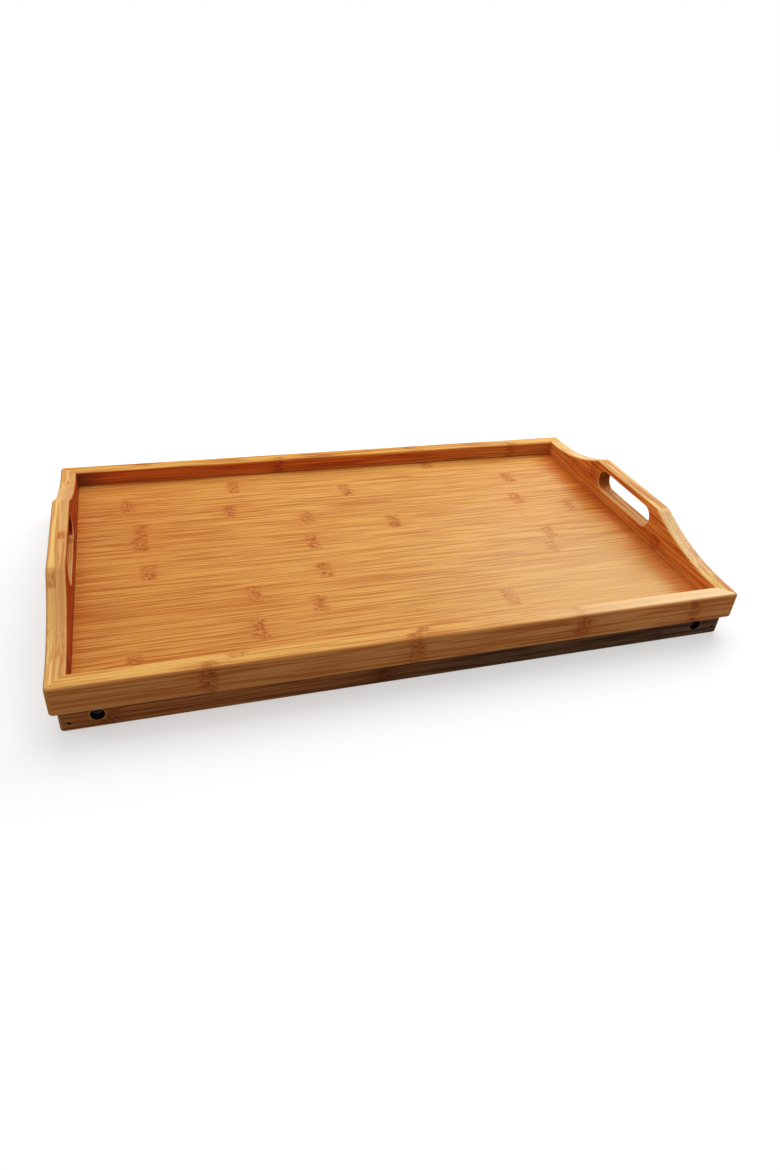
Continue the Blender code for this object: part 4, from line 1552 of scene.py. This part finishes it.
def make_runner(side_name, side):
    """A rounded block with a counterbore and a brad's hole near each end."""
    node = f"{side_name}_runner"
    low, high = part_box(node)
    face, inward, thick = seat_of(node, side)
    bm = block(low, high)
    upright = sharp_edges(bm, lambda edge: edge.verts[0].co.xy == edge.verts[1].co.xy)
    round_over(bm, upright, RUNNER_ROUND)
    lower = sharp_edges(bm, every_corner(lambda vert: vert.co.z < low.z + WELD))
    round_over(bm, lower, RUNNER_ROUND)
    for end_name in ENDS:
        for screw, radius, depth, bore in (
            ("pivot_screw", POCKET, POCKET_DEPTH, PIVOT_BORE),
            ("brad", PUNCH, PUNCH_DEPTH, BRAD_BORE),
        ):
            mouth = on_face(f"{screw}_{side_name}_{end_name}", face.y)
            steps = ((radius, depth), (bore, depth), (bore, thick))
            drill(bm, mouth, inward, lipped(radius, *steps), through=True)
    seed = RUNNER_SEED + side
    bamboo_here = make_bamboo(
        f"{node}_bamboo", node, "XZY", 1, 2, seed, tones=SHADED_RUNNER_TONES, lacquer=runner_shade
    )
    return stand_in(bm, node, bamboo_here)


for side_name, side in SIDES.items():
    make_runner(side_name, side)

# %% [markdown]
# ## The end battens
#
# Under each handle end a batten ties the two runners together. The brads reach into its ends, and its rounded
# lower edge is what an opened leg leans against. Its upper edges are glued to the handle end, and stay sharp.
# A brad's hole ends in a point, like the drill that made it, so its profile ends on the axis.

# %% Make the end battens
BATTEN_ROUND = 1.5 * MM
BATTEN_SEED = 31.0


def pointed(radius, depth):
    """The profile of a hole that ends in the point of the drill."""
    return [(radius, 0), (radius, depth), (0, depth + radius)]


def make_batten(end_name, end):
    """A block whose glued upper edges stay sharp, with a brad's hole in each end."""
    node = f"{end_name}_end_batten"
    low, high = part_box(node)
    bm = block(low, high)
    glued = every_corner(lambda vert: vert.co.z > high.z - WELD)
    round_over(bm, sharp_edges(bm, lambda edge: not glued(edge)), BATTEN_ROUND)
    for side_name, side in SIDES.items():
        brad = f"brad_{side_name}_{end_name}"
        tip = min(abs(corner.y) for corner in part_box(brad))
        drill(bm, on_face(brad, side * high.y), Vector((0, -side, 0)), pointed(BRAD_BORE, high.y - tip))
    name = f"{end_name}_batten_bamboo"
    bamboo_here = make_bamboo(name, node, "YZX", 1, 2, BATTEN_SEED + end, tones=UNDER_TONES)
    return stand_in(bm, node, bamboo_here, ALONG_Y, NOWHERE)


for end_name, end in ENDS.items():
    make_batten(end_name, end)

# %% [markdown]
# ## The legs
#
# A leg is a flat bar, round about its pivot. Its foot is cut on the slant, so that it stands flat when the leg
# leans out. It is drawn once with the foot towards +X, and mirrored for the frame at the other end. The reach
# is found from the leg's own box, and the slant is given.

# %% Make the legs
LEG_ROUND = 1.8 * MM
LEG_SPLAY = math.radians(10)
LEG_ARC_STEPS = 24
LEG_SEED = 41.0
BAR_SCREW_HEAD = 3.35 * MM
BAR_SCREW_HEAD_DEPTH = 1.85 * MM
BAR_SCREW_BORE = 1.75 * MM


def make_leg(end_name, end, side_name, side):
    """A flat bar with a round end, a slanting foot, a pivot hole and two countersunk screw holes."""
    node = f"{end_name}_leg_{side_name}"
    low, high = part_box(node)
    face, inward, thick = seat_of(node, side)
    pivot = on_face(f"pivot_screw_{side_name}_{end_name}", face.y)
    half = (high.z - low.z) / 2
    long_reach = (high.x - low.x) - half
    bm = new_piece()
    start = bm.verts.new((0, 0, half))
    pen = arc_about(bm, start, 0, 0, math.pi, LEG_ARC_STEPS)
    pen = line_to(bm, pen, long_reach, -half)
    pen = line_to(bm, pen, long_reach - 2 * half * math.tan(LEG_SPLAY), half)
    push(bm, fill_outline(bm, start, pen), Vector((0, thick, 0)))
    bmesh.ops.recalc_face_normals(bm, faces=bm.faces[:])
    round_over(bm, sharp_edges(bm), LEG_ROUND)
    bmesh.ops.scale(bm, vec=(-end, 1, 1), verts=bm.verts[:])
    bmesh.ops.translate(bm, vec=(pivot.x, low.y, pivot.z), verts=bm.verts[:])
    bmesh.ops.recalc_face_normals(bm, faces=bm.faces[:])
    drill(bm, pivot, inward, lipped(PIVOT_BORE, (PIVOT_BORE, thick)), through=True)
    sunk = [(BAR_SCREW_HEAD, 0), (BAR_SCREW_BORE, BAR_SCREW_HEAD_DEPTH), (BAR_SCREW_BORE, thick)]
    for number in (1, 2):
        mouth = on_face(f"{end_name}_bar_screw_{side_name}_{number}", face.y)
        drill(bm, mouth, inward, sunk, through=True)
    seed = LEG_SEED + 2 * end + side
    bamboo_here = make_bamboo(f"{node}_bamboo", node, "XZY", 1, 2, seed, tones=UNDER_TONES)
    return stand_in(bm, node, bamboo_here, shade_way=NOWHERE)


for end_name, end in ENDS.items():
    for side_name, side in SIDES.items():
        make_leg(end_name, end, side_name, side)

# %% [markdown]
# ## The cross bars
#
# Near its feet each leg frame has a flat bar from leg to leg. Two screws through each leg bite into its end
# grain, so its ends are drilled to the screws' length.

# %% Make the cross bars
BAR_ROUND = 2.0 * MM
BAR_SEED = 53.0


def make_cross_bar(end_name, end):
    """A rounded block with two screw holes in each end."""
    node = f"{end_name}_cross_bar"
    low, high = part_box(node)
    bm = block(low, high)
    round_over(bm, sharp_edges(bm), BAR_ROUND)
    for side_name, side in SIDES.items():
        for number in (1, 2):
            screw = f"{end_name}_bar_screw_{side_name}_{number}"
            tip = min(abs(corner.y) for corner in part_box(screw))
            mouth = on_face(screw, side * high.y)
            drill(bm, mouth, Vector((0, -side, 0)), pointed(BAR_SCREW_BORE, high.y - tip))
    bamboo_here = make_bamboo(f"{node}_bamboo", node, "YXZ", 1, 2, BAR_SEED + end, tones=UNDER_TONES)
    return stand_in(bm, node, bamboo_here, ALONG_Y, NOWHERE)


for end_name, end in ENDS.items():
    make_cross_bar(end_name, end)

# %% [markdown]
# ## Metal and nylon
#
# The pivot screws are blackened steel, the nuts, washers and wood screws are zinc plated, and a nylon washer
# keeps each leg off its runner. Metal at this size shows two things: fine scratches that catch the light,
# and cloudy patches where the plating or the oxide is thinner. Both come from one group, and each metal
# mixes them by its own measure.

# %% A group for handled metal
metal_wear, given, gives = new_group(
    "Handled metal",
    {"Place": "vector"},
    {"Scratches": "value", "Clouds": "value", "Grain": "value"},
)
place = given["Place"]
slanting = add(metal_wear, "ShaderNodeMapping", {"Vector": place, "Rotation": (0.5, 0.9, 0.4)}).outputs[0]
hand_back(
    metal_wear,
    gives,
    Scratches=ease(metal_wear, noise(metal_wear, slanting, (350, 9000, 9000), detail=1.0), 0.62, 0.72),
    Clouds=noise(metal_wear, place, (520, 520, 520), detail=4.0, roughness=0.6),
    Grain=noise(metal_wear, place, (6000, 6000, 6000), detail=1.0),
)

# %% [markdown]
# Each metal runs from a dark to a light tone by the clouds. Scratches and rubbed edges show a third tone,
# since they lay the metal bare. Nylon is no metal, but it is handled in the same way, so it shares the recipe
# with its metallic share at zero.

# %% Steel, zinc and nylon
RUBBED_EDGE = 0.35
SCRATCH_SHARE = 0.6
CLOUD_GLOSS = 0.16


def make_metal(name, dark, light, scratched, roughness, metallic):
    """Metal or nylon that runs from dark to light in clouds, with scratches of another colour."""
    material, tree = new_material(name)
    wear = use(tree, metal_wear, Place=add(tree, "ShaderNodeTexCoord").outputs["Object"])
    colour = tint(tree, ease(tree, wear["Clouds"], 0.30, 0.70), (*dark, 1), (*light, 1))
    bare = calc(tree, "MAXIMUM", wear["Scratches"], times(tree, mask_from(tree, "rounded"), RUBBED_EDGE))
    relief = calc(tree, "MULTIPLY_ADD", wear["Scratches"], -0.6, wear["Grain"])
    bump = add(tree, "ShaderNodeBump", {"Height": relief, "Distance": 0.01 * MM, "Strength": 0.35})
    feed_shader(
        tree,
        Base_Color=tint(tree, times(tree, bare, SCRATCH_SHARE), colour, (*scratched, 1)),
        Roughness=calc(tree, "MULTIPLY_ADD", wear["Clouds"], CLOUD_GLOSS, roughness - CLOUD_GLOSS / 2),
        Normal=bump.outputs[0],
        Metallic=metallic,
    )
    print("Finish", name, "is made from", metal_wear.name)
    return material


BLACK_STEEL = make_metal(
    "blackened_steel",
    dark=(0.020, 0.022, 0.030),
    light=(0.042, 0.044, 0.056),
    scratched=(0.20, 0.20, 0.22),
    roughness=0.32,
    metallic=0.9,
)
ZINC = make_metal(
    "zinc_plate",
    dark=(0.54, 0.55, 0.56),
    light=(0.70, 0.70, 0.68),
    scratched=(0.84, 0.84, 0.82),
    roughness=0.30,
    metallic=1.0,
)
BRIGHT_STEEL = make_metal(
    "brad_steel",
    dark=(0.36, 0.35, 0.34),
    light=(0.52, 0.51, 0.49),
    scratched=(0.70, 0.70, 0.68),
    roughness=0.38,
    metallic=1.0,
)
NYLON = make_metal(
    "natural_nylon",
    dark=(0.74, 0.72, 0.65),
    light=(0.82, 0.80, 0.74),
    scratched=(0.88, 0.87, 0.82),
    roughness=0.48,
    metallic=0.0,
)

# %% [markdown]
# ## Screw heads with a cross
#
# A pressed cross is what makes a disc read as a screw. Its outline is one arm, three edges long, copied round
# by a spin with duplicates. The ring at the edge of the head is bridged to it, and then the cross is pushed
# in and drawn together, as the driver's tapered tip would leave it. Between two loops in one plane a bridge
# can come out twisted, so the cross is held a hair deeper while it is bridged.

# %% A cross recess in a round head
RECESS_TAPER = 0.55
HAIR = 0.05 * MM


def cross_recess(bm, head_edges, centre, inward, ring, recess):
    """Closes a head inside one ring of its surface with a cross. Recess is its length, width and depth."""
    length, width, depth = recess
    half_length, half_width = length / 2, width / 2
    level = centre + inward * ring[1]
    arm = (
        (half_length, -half_width),
        (half_length, half_width),
        (half_width, half_width),
        (half_width, half_length),
    )
    pens = [bm.verts.new(level + Vector((x, 0, z))) for x, z in arm]
    known = set(bm.edges)
    edges = [bm.edges.new(pair) for pair in zip(pens, pens[1:])]
    bmesh.ops.spin(
        bm,
        geom=[*pens, *edges],
        cent=level,
        axis=(0, -1, 0),
        angle=1.5 * math.pi,
        steps=3,
        use_duplicate=True,
    )
    outline = [edge for edge in bm.edges if edge not in known]
    bmesh.ops.remove_doubles(bm, verts=corners_of(outline), dist=WELD)
    outline = [edge for edge in bm.edges if edge not in known]
    rim = corners_of(outline)
    bmesh.ops.translate(bm, vec=inward * HAIR, verts=rim)
    bmesh.ops.bridge_loops(bm, edges=ring_at(head_edges, centre, inward, *ring) + outline)
    bmesh.ops.translate(bm, vec=-inward * HAIR, verts=rim)
    made = bmesh.ops.extrude_edge_only(bm, edges=outline)["geom"]
    sunk = only(bmesh.types.BMVert, made)
    bmesh.ops.translate(bm, vec=inward * depth, verts=sunk)
    taper = (RECESS_TAPER, 1, RECESS_TAPER)
    bmesh.ops.scale(bm, vec=taper, space=Matrix.Translation(-level), verts=sunk)
    at_floor = every_corner(lambda vert: vert in sunk)
    floor_edges = [edge for edge in only(bmesh.types.BMEdge, made) if at_floor(edge)]
    bmesh.ops.holes_fill(bm, edges=[edge for edge in floor_edges if len(edge.link_faces) == 1], sides=0)


print("A cross narrows to", round(RECESS_TAPER * 100), "% at its floor")

# %% [markdown]
# A thread is a triangular ridge. Drawn as rings it would pass for one, but it would lead nowhere, and a spin
# that also moves along the axis makes the true helix with the same operator.

# %% A thread on a shank
THREAD_SINK = 0.15 * MM


def helix_thread(bm, start, inward, root, crest, pitch, turns, steps=20):
    """A triangular ridge wound round a shank: one triangle, spun while it moves along the axis."""
    foot = root - THREAD_SINK
    corners = ((foot, 0.0), (foot, 0.8 * pitch), (crest, 0.4 * pitch))
    pens = [bm.verts.new(start + ALONG_X * radius + inward * depth) for radius, depth in corners]
    face = bm.faces.new(pens)
    bmesh.ops.spin(
        bm,
        geom=[face],
        cent=start,
        axis=inward,
        dvec=inward * pitch / steps,
        angle=2 * math.pi * turns,
        steps=steps * turns,
        use_duplicate=False,
    )


print("A thread's foot is sunk", round(THREAD_SINK / MM, 2), "mm into its shank")

# %% [markdown]
# ## The pivot hardware
#
# From outside to inside each pivot has a round-headed screw in its counterbore, a nylon washer between runner
# and leg, a steel washer, and a lock nut with its thin collar. All but the nut are turned from one profile.
# The screw's head is a dome that is left open in the middle, at the ring where the cross begins.

# %% Make the pivot screws
HEAD = 3.9 * MM
HEAD_HEIGHT = 2.6 * MM
HEAD_EDGE = 0.2 * MM
SHANK = 2.5 * MM
THREAD_ROOT = 2.2 * MM
THREAD_END = 0.3 * MM
THREAD_PITCH = 0.8 * MM
THREAD_TURNS = 8
DOME_STEPS = 8
CROSS_IN_DOME = 0.6


def make_pivot_screw(node, side):
    """A domed head with a cross, and a shank that is threaded at its end."""
    centre, inward, length = seat_of(node, side)
    dome = []
    for step in range(1, DOME_STEPS + 1):
        lean = math.pi / 2 * step / DOME_STEPS
        dome.append((HEAD * math.sin(lean), HEAD_HEIGHT / 2 * (1 - math.cos(lean))))
    dome = [point for point in dome if point[0] > CROSS_IN_DOME * HEAD]
    thread_start = length - THREAD_TURNS * THREAD_PITCH - THREAD_PITCH
    profile = [
        *dome,
        (HEAD, HEAD_HEIGHT - HEAD_EDGE),
        (HEAD - HEAD_EDGE, HEAD_HEIGHT),
        (SHANK, HEAD_HEIGHT),
        (SHANK, thread_start),
        (THREAD_ROOT, thread_start + THREAD_END),
        (THREAD_ROOT, length - THREAD_END),
        (THREAD_ROOT - THREAD_END, length),
        (0, length),
    ]
    bm = new_piece()
    edges = spin_profile(bm, centre, inward, profile)
    cross_recess(bm, edges, centre, inward, dome[0], (1.1 * HEAD, 0.27 * HEAD, 0.5 * HEAD_HEIGHT))
    start = centre + inward * thread_start
    helix_thread(bm, start, inward, THREAD_ROOT, SHANK, THREAD_PITCH, THREAD_TURNS)
    return stand_in(bm, node, BLACK_STEEL)


for side_name, side, end_name in CORNERS:
    make_pivot_screw(f"pivot_screw_{side_name}_{end_name}", side)

# %% [markdown]
# A washer is punched from sheet, and its edges are just broken. Its profile is closed, so that the spin makes
# a ring with a hole.

# %% Make the washers
WASHER_EDGE = 0.15 * MM
WASHER_SIDES = 40


def make_washer(node, material):
    """A flat ring with its four edges just broken."""
    low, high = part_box(node)
    radius = (high.x - low.x) / 2
    thick = high.y - low.y
    profile = [
        (PIVOT_BORE + WASHER_EDGE, 0),
        (radius - WASHER_EDGE, 0),
        (radius, WASHER_EDGE),
        (radius, thick - WASHER_EDGE),
        (radius - WASHER_EDGE, thick),
        (PIVOT_BORE + WASHER_EDGE, thick),
        (PIVOT_BORE, thick - WASHER_EDGE),
        (PIVOT_BORE, WASHER_EDGE),
    ]
    bm = new_piece()
    spin_profile(bm, on_face(node, low.y), ALONG_Y, profile, WASHER_SIDES, closed=True)
    return stand_in(bm, node, material)


for side_name, side, end_name in CORNERS:
    make_washer(f"spacer_{side_name}_{end_name}", NYLON)
    make_washer(f"washer_{side_name}_{end_name}", ZINC)

# %% [markdown]
# A lock nut is a hexagon whose corners are turned off at both faces, with a thin round collar that grips the
# thread. Its hexagon is a cone primitive with equal radii and no caps. The rest, from one face through the
# bore to the other, is one spun profile, and two bridges join it to the hexagon. The bridges are the
# chamfers.

# %% Make the lock nuts
NUT_HEIGHT = 3.2 * MM
NUT_CHAMFER = 0.45 * MM
NUT_FACE = 3.85 * MM
NUT_MOUTH = 0.2 * MM
NUT_EXIT = 0.25 * MM
COLLAR = 3.4 * MM
COLLAR_ROUND = 0.4 * MM
COLLAR_TOP = COLLAR - 0.3 * MM
COLLAR_FOOT = 0.1 * MM
NUT_SIDES = 36


def near_depth(edges, centre, inward, depth):
    """Edges that lie within a chamfer of one face of the nut."""
    at_depth = every_corner(lambda vert: abs((vert.co - centre).dot(inward) - depth) < NUT_CHAMFER + WELD)
    return [edge for edge in edges if at_depth(edge)]


def make_lock_nut(node, side):
    """A chamfered hexagon with a collar, bored for the screw."""
    centre, inward, length = seat_of(node, side)
    low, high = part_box(node)
    corner = (high.x - low.x) / 2
    profile = [
        (NUT_FACE, 0),
        (PIVOT_BORE + NUT_MOUTH, 0),
        (PIVOT_BORE, NUT_MOUTH),
        (PIVOT_BORE, length - NUT_EXIT),
        (PIVOT_BORE + NUT_MOUTH / 2, length),
        (COLLAR_TOP, length),
        (COLLAR, length - COLLAR_ROUND),
        (COLLAR, NUT_HEIGHT + COLLAR_FOOT),
        (COLLAR + COLLAR_FOOT, NUT_HEIGHT),
        (NUT_FACE, NUT_HEIGHT),
    ]
    bm = new_piece()
    turned_part = spin_profile(bm, centre, inward, profile, NUT_SIDES)
    turn = inward.to_track_quat("Z", "X").to_matrix().to_4x4()
    middle = Matrix.Translation(centre + inward * NUT_HEIGHT / 2)
    known = set(bm.edges)
    bmesh.ops.create_cone(
        bm,
        cap_ends=False,
        segments=6,
        radius1=corner,
        radius2=corner,
        depth=NUT_HEIGHT - 2 * NUT_CHAMFER,
        matrix=middle @ turn @ Matrix.Rotation(math.pi / 2, 4, "Z"),
    )
    rims = [edge for edge in bm.edges if edge not in known and len(edge.link_faces) == 1]
    for depth, ring in ((0, profile[0]), (NUT_HEIGHT, profile[-1])):
        near = near_depth(rims, centre, inward, depth)
        before = set(bm.edges) - set(near)
        bmesh.ops.subdivide_edges(bm, edges=near, cuts=NUT_SIDES // 6 - 1)
        rim = [edge for edge in bm.edges if edge not in before]
        bmesh.ops.bridge_loops(bm, edges=rim + ring_at(turned_part, centre, inward, *ring))
    return stand_in(bm, node, ZINC)


for side_name, side, end_name in CORNERS:
    make_lock_nut(f"lock_nut_{side_name}_{end_name}", side)

# %% [markdown]
# ## Wood screws and brads
#
# The wood screws lie flush in their countersinks, so only their crossed heads show. Their flat head is one
# cone down to the shank, with a coarser thread than the pivot screws have.

# %% Make the wood screws
SCREW_HEAD = 3.2 * MM
SCREW_SHANK = 1.6 * MM
SCREW_HEAD_HEIGHT = 1.7 * MM
SCREW_POINT = 3.5 * MM
SCREW_ROOT = 1.15 * MM
SCREW_PITCH = 1.4 * MM
SCREW_TURNS = 7
SCREW_RIM = 0.15 * MM
SCREW_RIM_HEIGHT = 0.1 * MM
THREAD_LEAD = 0.3 * MM
ROOT_LEAD = 0.5 * MM
CROSS_IN_FLAT = 0.66


def make_bar_screw(node, side):
    """A countersunk head with a cross, a threaded shank and a point."""
    centre, inward, length = seat_of(node, side)
    ring = (CROSS_IN_FLAT * SCREW_HEAD, 0)
    thread_start = length - SCREW_POINT - SCREW_TURNS * SCREW_PITCH
    profile = [
        ring,
        (SCREW_HEAD - SCREW_RIM, 0),
        (SCREW_HEAD, SCREW_RIM_HEIGHT),
        (SCREW_SHANK, SCREW_HEAD_HEIGHT),
        (SCREW_SHANK, thread_start),
        (SCREW_ROOT, thread_start + ROOT_LEAD),
        (SCREW_ROOT, length - SCREW_POINT),
        (0, length),
    ]
    bm = new_piece()
    edges = spin_profile(bm, centre, inward, profile)
    recess = (1.15 * SCREW_HEAD, 0.28 * SCREW_HEAD, 0.55 * SCREW_HEAD_HEIGHT)
    cross_recess(bm, edges, centre, inward, ring, recess)
    start = centre + inward * (thread_start + THREAD_LEAD)
    helix_thread(bm, start, inward, SCREW_ROOT, SCREW_SHANK, SCREW_PITCH, SCREW_TURNS, steps=12)
    return stand_in(bm, node, ZINC)


for side_name, side, end_name in CORNERS:
    for number in (1, 2):
        make_bar_screw(f"{end_name}_bar_screw_{side_name}_{number}", side)

# %% [markdown]
# A brad is a wire nail with a small domed head, punched below the runner's face, where it leaves the dark dot
# of the photograph. It has no thread and no cross, so one spun profile is the whole of it.

# %% Make the brads
BRAD_HEAD = 0.9 * MM
BRAD_SHANK = 0.6 * MM
BRAD_POINT = 1.2 * MM
BRAD_SIDES = 24


def make_brad(node, side):
    """A thin nail with a small domed head."""
    centre, inward, length = seat_of(node, side)
    profile = [
        (0, 0),
        (0.5 * BRAD_HEAD, 0.04 * MM),
        (0.85 * BRAD_HEAD, 0.16 * MM),
        (BRAD_HEAD, 0.36 * MM),
        (BRAD_HEAD, 0.7 * MM),
        (BRAD_SHANK, 0.8 * MM),
        (BRAD_SHANK, length - BRAD_POINT),
        (0, length),
    ]
    bm = new_piece()
    spin_profile(bm, centre, inward, profile, BRAD_SIDES)
    return stand_in(bm, node, BRIGHT_STEEL)


for side_name, side, end_name in CORNERS:
    make_brad(f"brad_{side_name}_{end_name}", side)

# %% [markdown]
# ## The camera
#
# The place and tilt of the camera were worked out from the straight edges of the tray in the photograph. The
# lens is wide, because the far end looks so much smaller than the near one.

# %% Place the camera
CAMERA_PLACE = (-0.1761, -0.5331, 0.3598)
CAMERA_TILT_DEGREES = (56.038, -3.998, -17.291)
LENS_MM = 23.665

camera_data = bpy.data.cameras.new("camera")
camera_data.lens = LENS_MM
camera = bpy.data.objects.new("camera", camera_data)
camera.location = CAMERA_PLACE
camera.rotation_euler = [math.radians(angle) for angle in CAMERA_TILT_DEGREES]
camera_data.clip_start = 0.01
bpy.context.scene.collection.objects.link(camera)
bpy.context.scene.camera = camera
print("The camera looks down from", round(CAMERA_PLACE[2] / MM), "mm")

# %% [markdown]
# ## Light
#
# The photograph was lit from above and a little from the right and behind: the tops are bright, the front
# faces have about a third of that light, and a soft sheen lies on the right half of the board. One broad
# lamp overhead gives the tops, and a second one low behind on the right gives the sheen. Two weak lamps, on
# the left and in front on the right, lift the faces that look there. A last one, unseen by the camera, shows
# the underside when one looks from below. All are broad, because small lamps would draw hard shadows.

# %% Lamps
def add_lamp(name, place, aim, size, watts):
    """A broad lamp that looks from its place to what it is aimed at."""
    data = bpy.data.lights.new(name, "AREA")
    data.shape = "RECTANGLE"
    data.size, data.size_y = size
    data.energy = watts
    lamp = bpy.data.objects.new(name, data)
    lamp.location = place
    lamp.rotation_euler = (Vector(aim) - Vector(place)).to_track_quat("-Z", "Y").to_euler()
    bpy.context.scene.collection.objects.link(lamp)
    print("Lamp", name, "gives", watts, "W")
    return lamp


add_lamp("overhead_lamp", place=(0.15, 0.42, 1.22), aim=(0.0, 0.02, 0.0), size=(1.3, 1.0), watts=10.5)
add_lamp("sheen_lamp", place=(1.00, 0.82, 0.75), aim=(0.10, 0.0, 0.02), size=(1.0, 0.42), watts=7.2)
add_lamp("left_fill_lamp", place=(-1.30, 0.25, 0.70), aim=(0.20, 0.0, 0.03), size=(0.9, 0.7), watts=3.0)
add_lamp("front_fill_lamp", place=(1.30, -1.10, 0.40), aim=(0.15, 0.0, 0.0), size=(0.9, 0.6), watts=2.0)
from_below = add_lamp(
    "underside_lamp", place=(0.0, 0.0, -1.20), aim=(0.0, 0.0, 0.0), size=(0.36, 0.24), watts=3.5
)
from_below.visible_camera = False
from_below.visible_glossy = False

# %% [markdown]
# A weak sky fills the rest. What the camera sees of it is white, and so is what metal and glass would show of
# it. More light would make it white too, but it would wash out the wood, so the Light Path node tells the
# sky who is looking.

# %% Sky
SKY_STRENGTH = 0.38


def seen_rays(tree, rays):
    """One for the rays that show a surface to the eye: straight, off metal or through glass."""
    straight_or_glossy = calc(tree, "MAXIMUM", rays["Is Camera Ray"], rays["Is Glossy Ray"])
    return calc(tree, "MAXIMUM", straight_or_glossy, rays["Is Transmission Ray"])


world = bpy.data.worlds.new("studio")
world.use_nodes = True
bpy.context.scene.world = world
sky = world.node_tree
seen_white = seen_rays(sky, add(sky, "ShaderNodeLightPath").outputs)
strength = calc(sky, "MULTIPLY_ADD", seen_white, 1.0 - SKY_STRENGTH, SKY_STRENGTH)
feed(sky, sky.nodes["Background"].inputs["Strength"], strength)
feed(sky, sky.nodes["Background"].inputs["Color"], (1, 1, 1, 1))
print("The sky lights with", SKY_STRENGTH, "and is seen as white")

# %% [markdown]
# ## The floor
#
# The tray stands on a pale floor that keeps its shadow. A painted floor alone would turn grey where the lamps
# reach it less, so it also glows for the camera, a little beside the tray and fully white far from it. From
# below it can be seen through, and it lets the light of the lamp below pass, so that the underside can be
# looked at too.

# %% Paint the floor
WHITE_FROM = 0.30
WHITE_AT = 1.10
FLOOR_GLOW = 0.50
FLOOR_PAINT = 0.56
FLOOR_BOUNCE = 0.25
BLACK = (0, 0, 0, 1)
WHITE = (1, 1, 1, 1)

floor_paint, tree = new_material("floor_paint")
rays = add(tree, "ShaderNodeLightPath").outputs
across_floor = shift(tree, "MULTIPLY", add(tree, "ShaderNodeTexCoord").outputs["Object"], (1, 1, 0))
from_tray = add(tree, "ShaderNodeVectorMath", {0: across_floor}, operation="LENGTH").outputs["Value"]
glow = calc(tree, "MULTIPLY_ADD", ease(tree, from_tray, WHITE_FROM, WHITE_AT), 1.0 - FLOOR_GLOW, FLOOR_GLOW)
bounce, lit = ((share, share, share, 1) for share in (FLOOR_BOUNCE, FLOOR_PAINT))
below = add(tree, "ShaderNodeNewGeometry").outputs["Backfacing"]
let_through = calc(tree, "MAXIMUM", below, rays["Is Shadow Ray"])
feed_shader(
    tree,
    Base_Color=tint(tree, rays["Is Camera Ray"], bounce, lit),
    Emission_Color=tint(tree, times(tree, seen_rays(tree, rays), glow), BLACK, WHITE),
    Emission_Strength=1.0,
    Alpha=calc(tree, "SUBTRACT", 1.0, let_through),
    Roughness=1.0,
    Specular_IOR_Level=0.0,
)
print("The floor is plain white from", round(WHITE_AT / MM), "mm off")

# %% [markdown]
# The legs open downwards, so the floor has to sink under them, whichever frame opens first. A hidden copy of
# the floor is laid as well, and a Shrinkwrap projects the floor down onto it.

# %% Lay the floor
FLOOR_REACH = 6.0
HIDDEN_REACH = 1.1 * FLOOR_REACH


def lay_floor(name, reach):
    """A square of floor, marked as backdrop."""
    bm = bmesh.new()
    bmesh.ops.create_grid(bm, x_segments=1, y_segments=1, size=reach)
    mesh = bpy.data.meshes.new(name)
    bm.to_mesh(mesh)
    bm.free()
    mesh.materials.append(floor_paint)
    floor = bpy.data.objects.new(name, mesh)
    bpy.context.scene.collection.objects.link(floor)
    floor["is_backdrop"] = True
    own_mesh(floor)
    return floor


floor = lay_floor("floor", FLOOR_REACH)
floor_below = lay_floor("floor_under_left_leg", HIDDEN_REACH)
floor_below.hide_render = True
lower = floor.modifiers.new("down_to_the_lower_floor", "SHRINKWRAP")
lower.target = floor_below
lower.wrap_method = "PROJECT"
lower.use_project_z = True
lower.use_negative_direction = True
lower.use_positive_direction = False

# %% [markdown]
# ## The finished box
#
# The view transform is set to Standard, so that a colour comes out as it was written. Last, the finished
# tray's box is measured and its size printed.

# %% Measure and finish
bpy.context.scene.view_settings.view_transform = "Standard"
finished_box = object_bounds()
finished_size = finished_box[1] - finished_box[0]
print("The finished tray fills", [round(value / MM, 1) for value in finished_size], "mm")
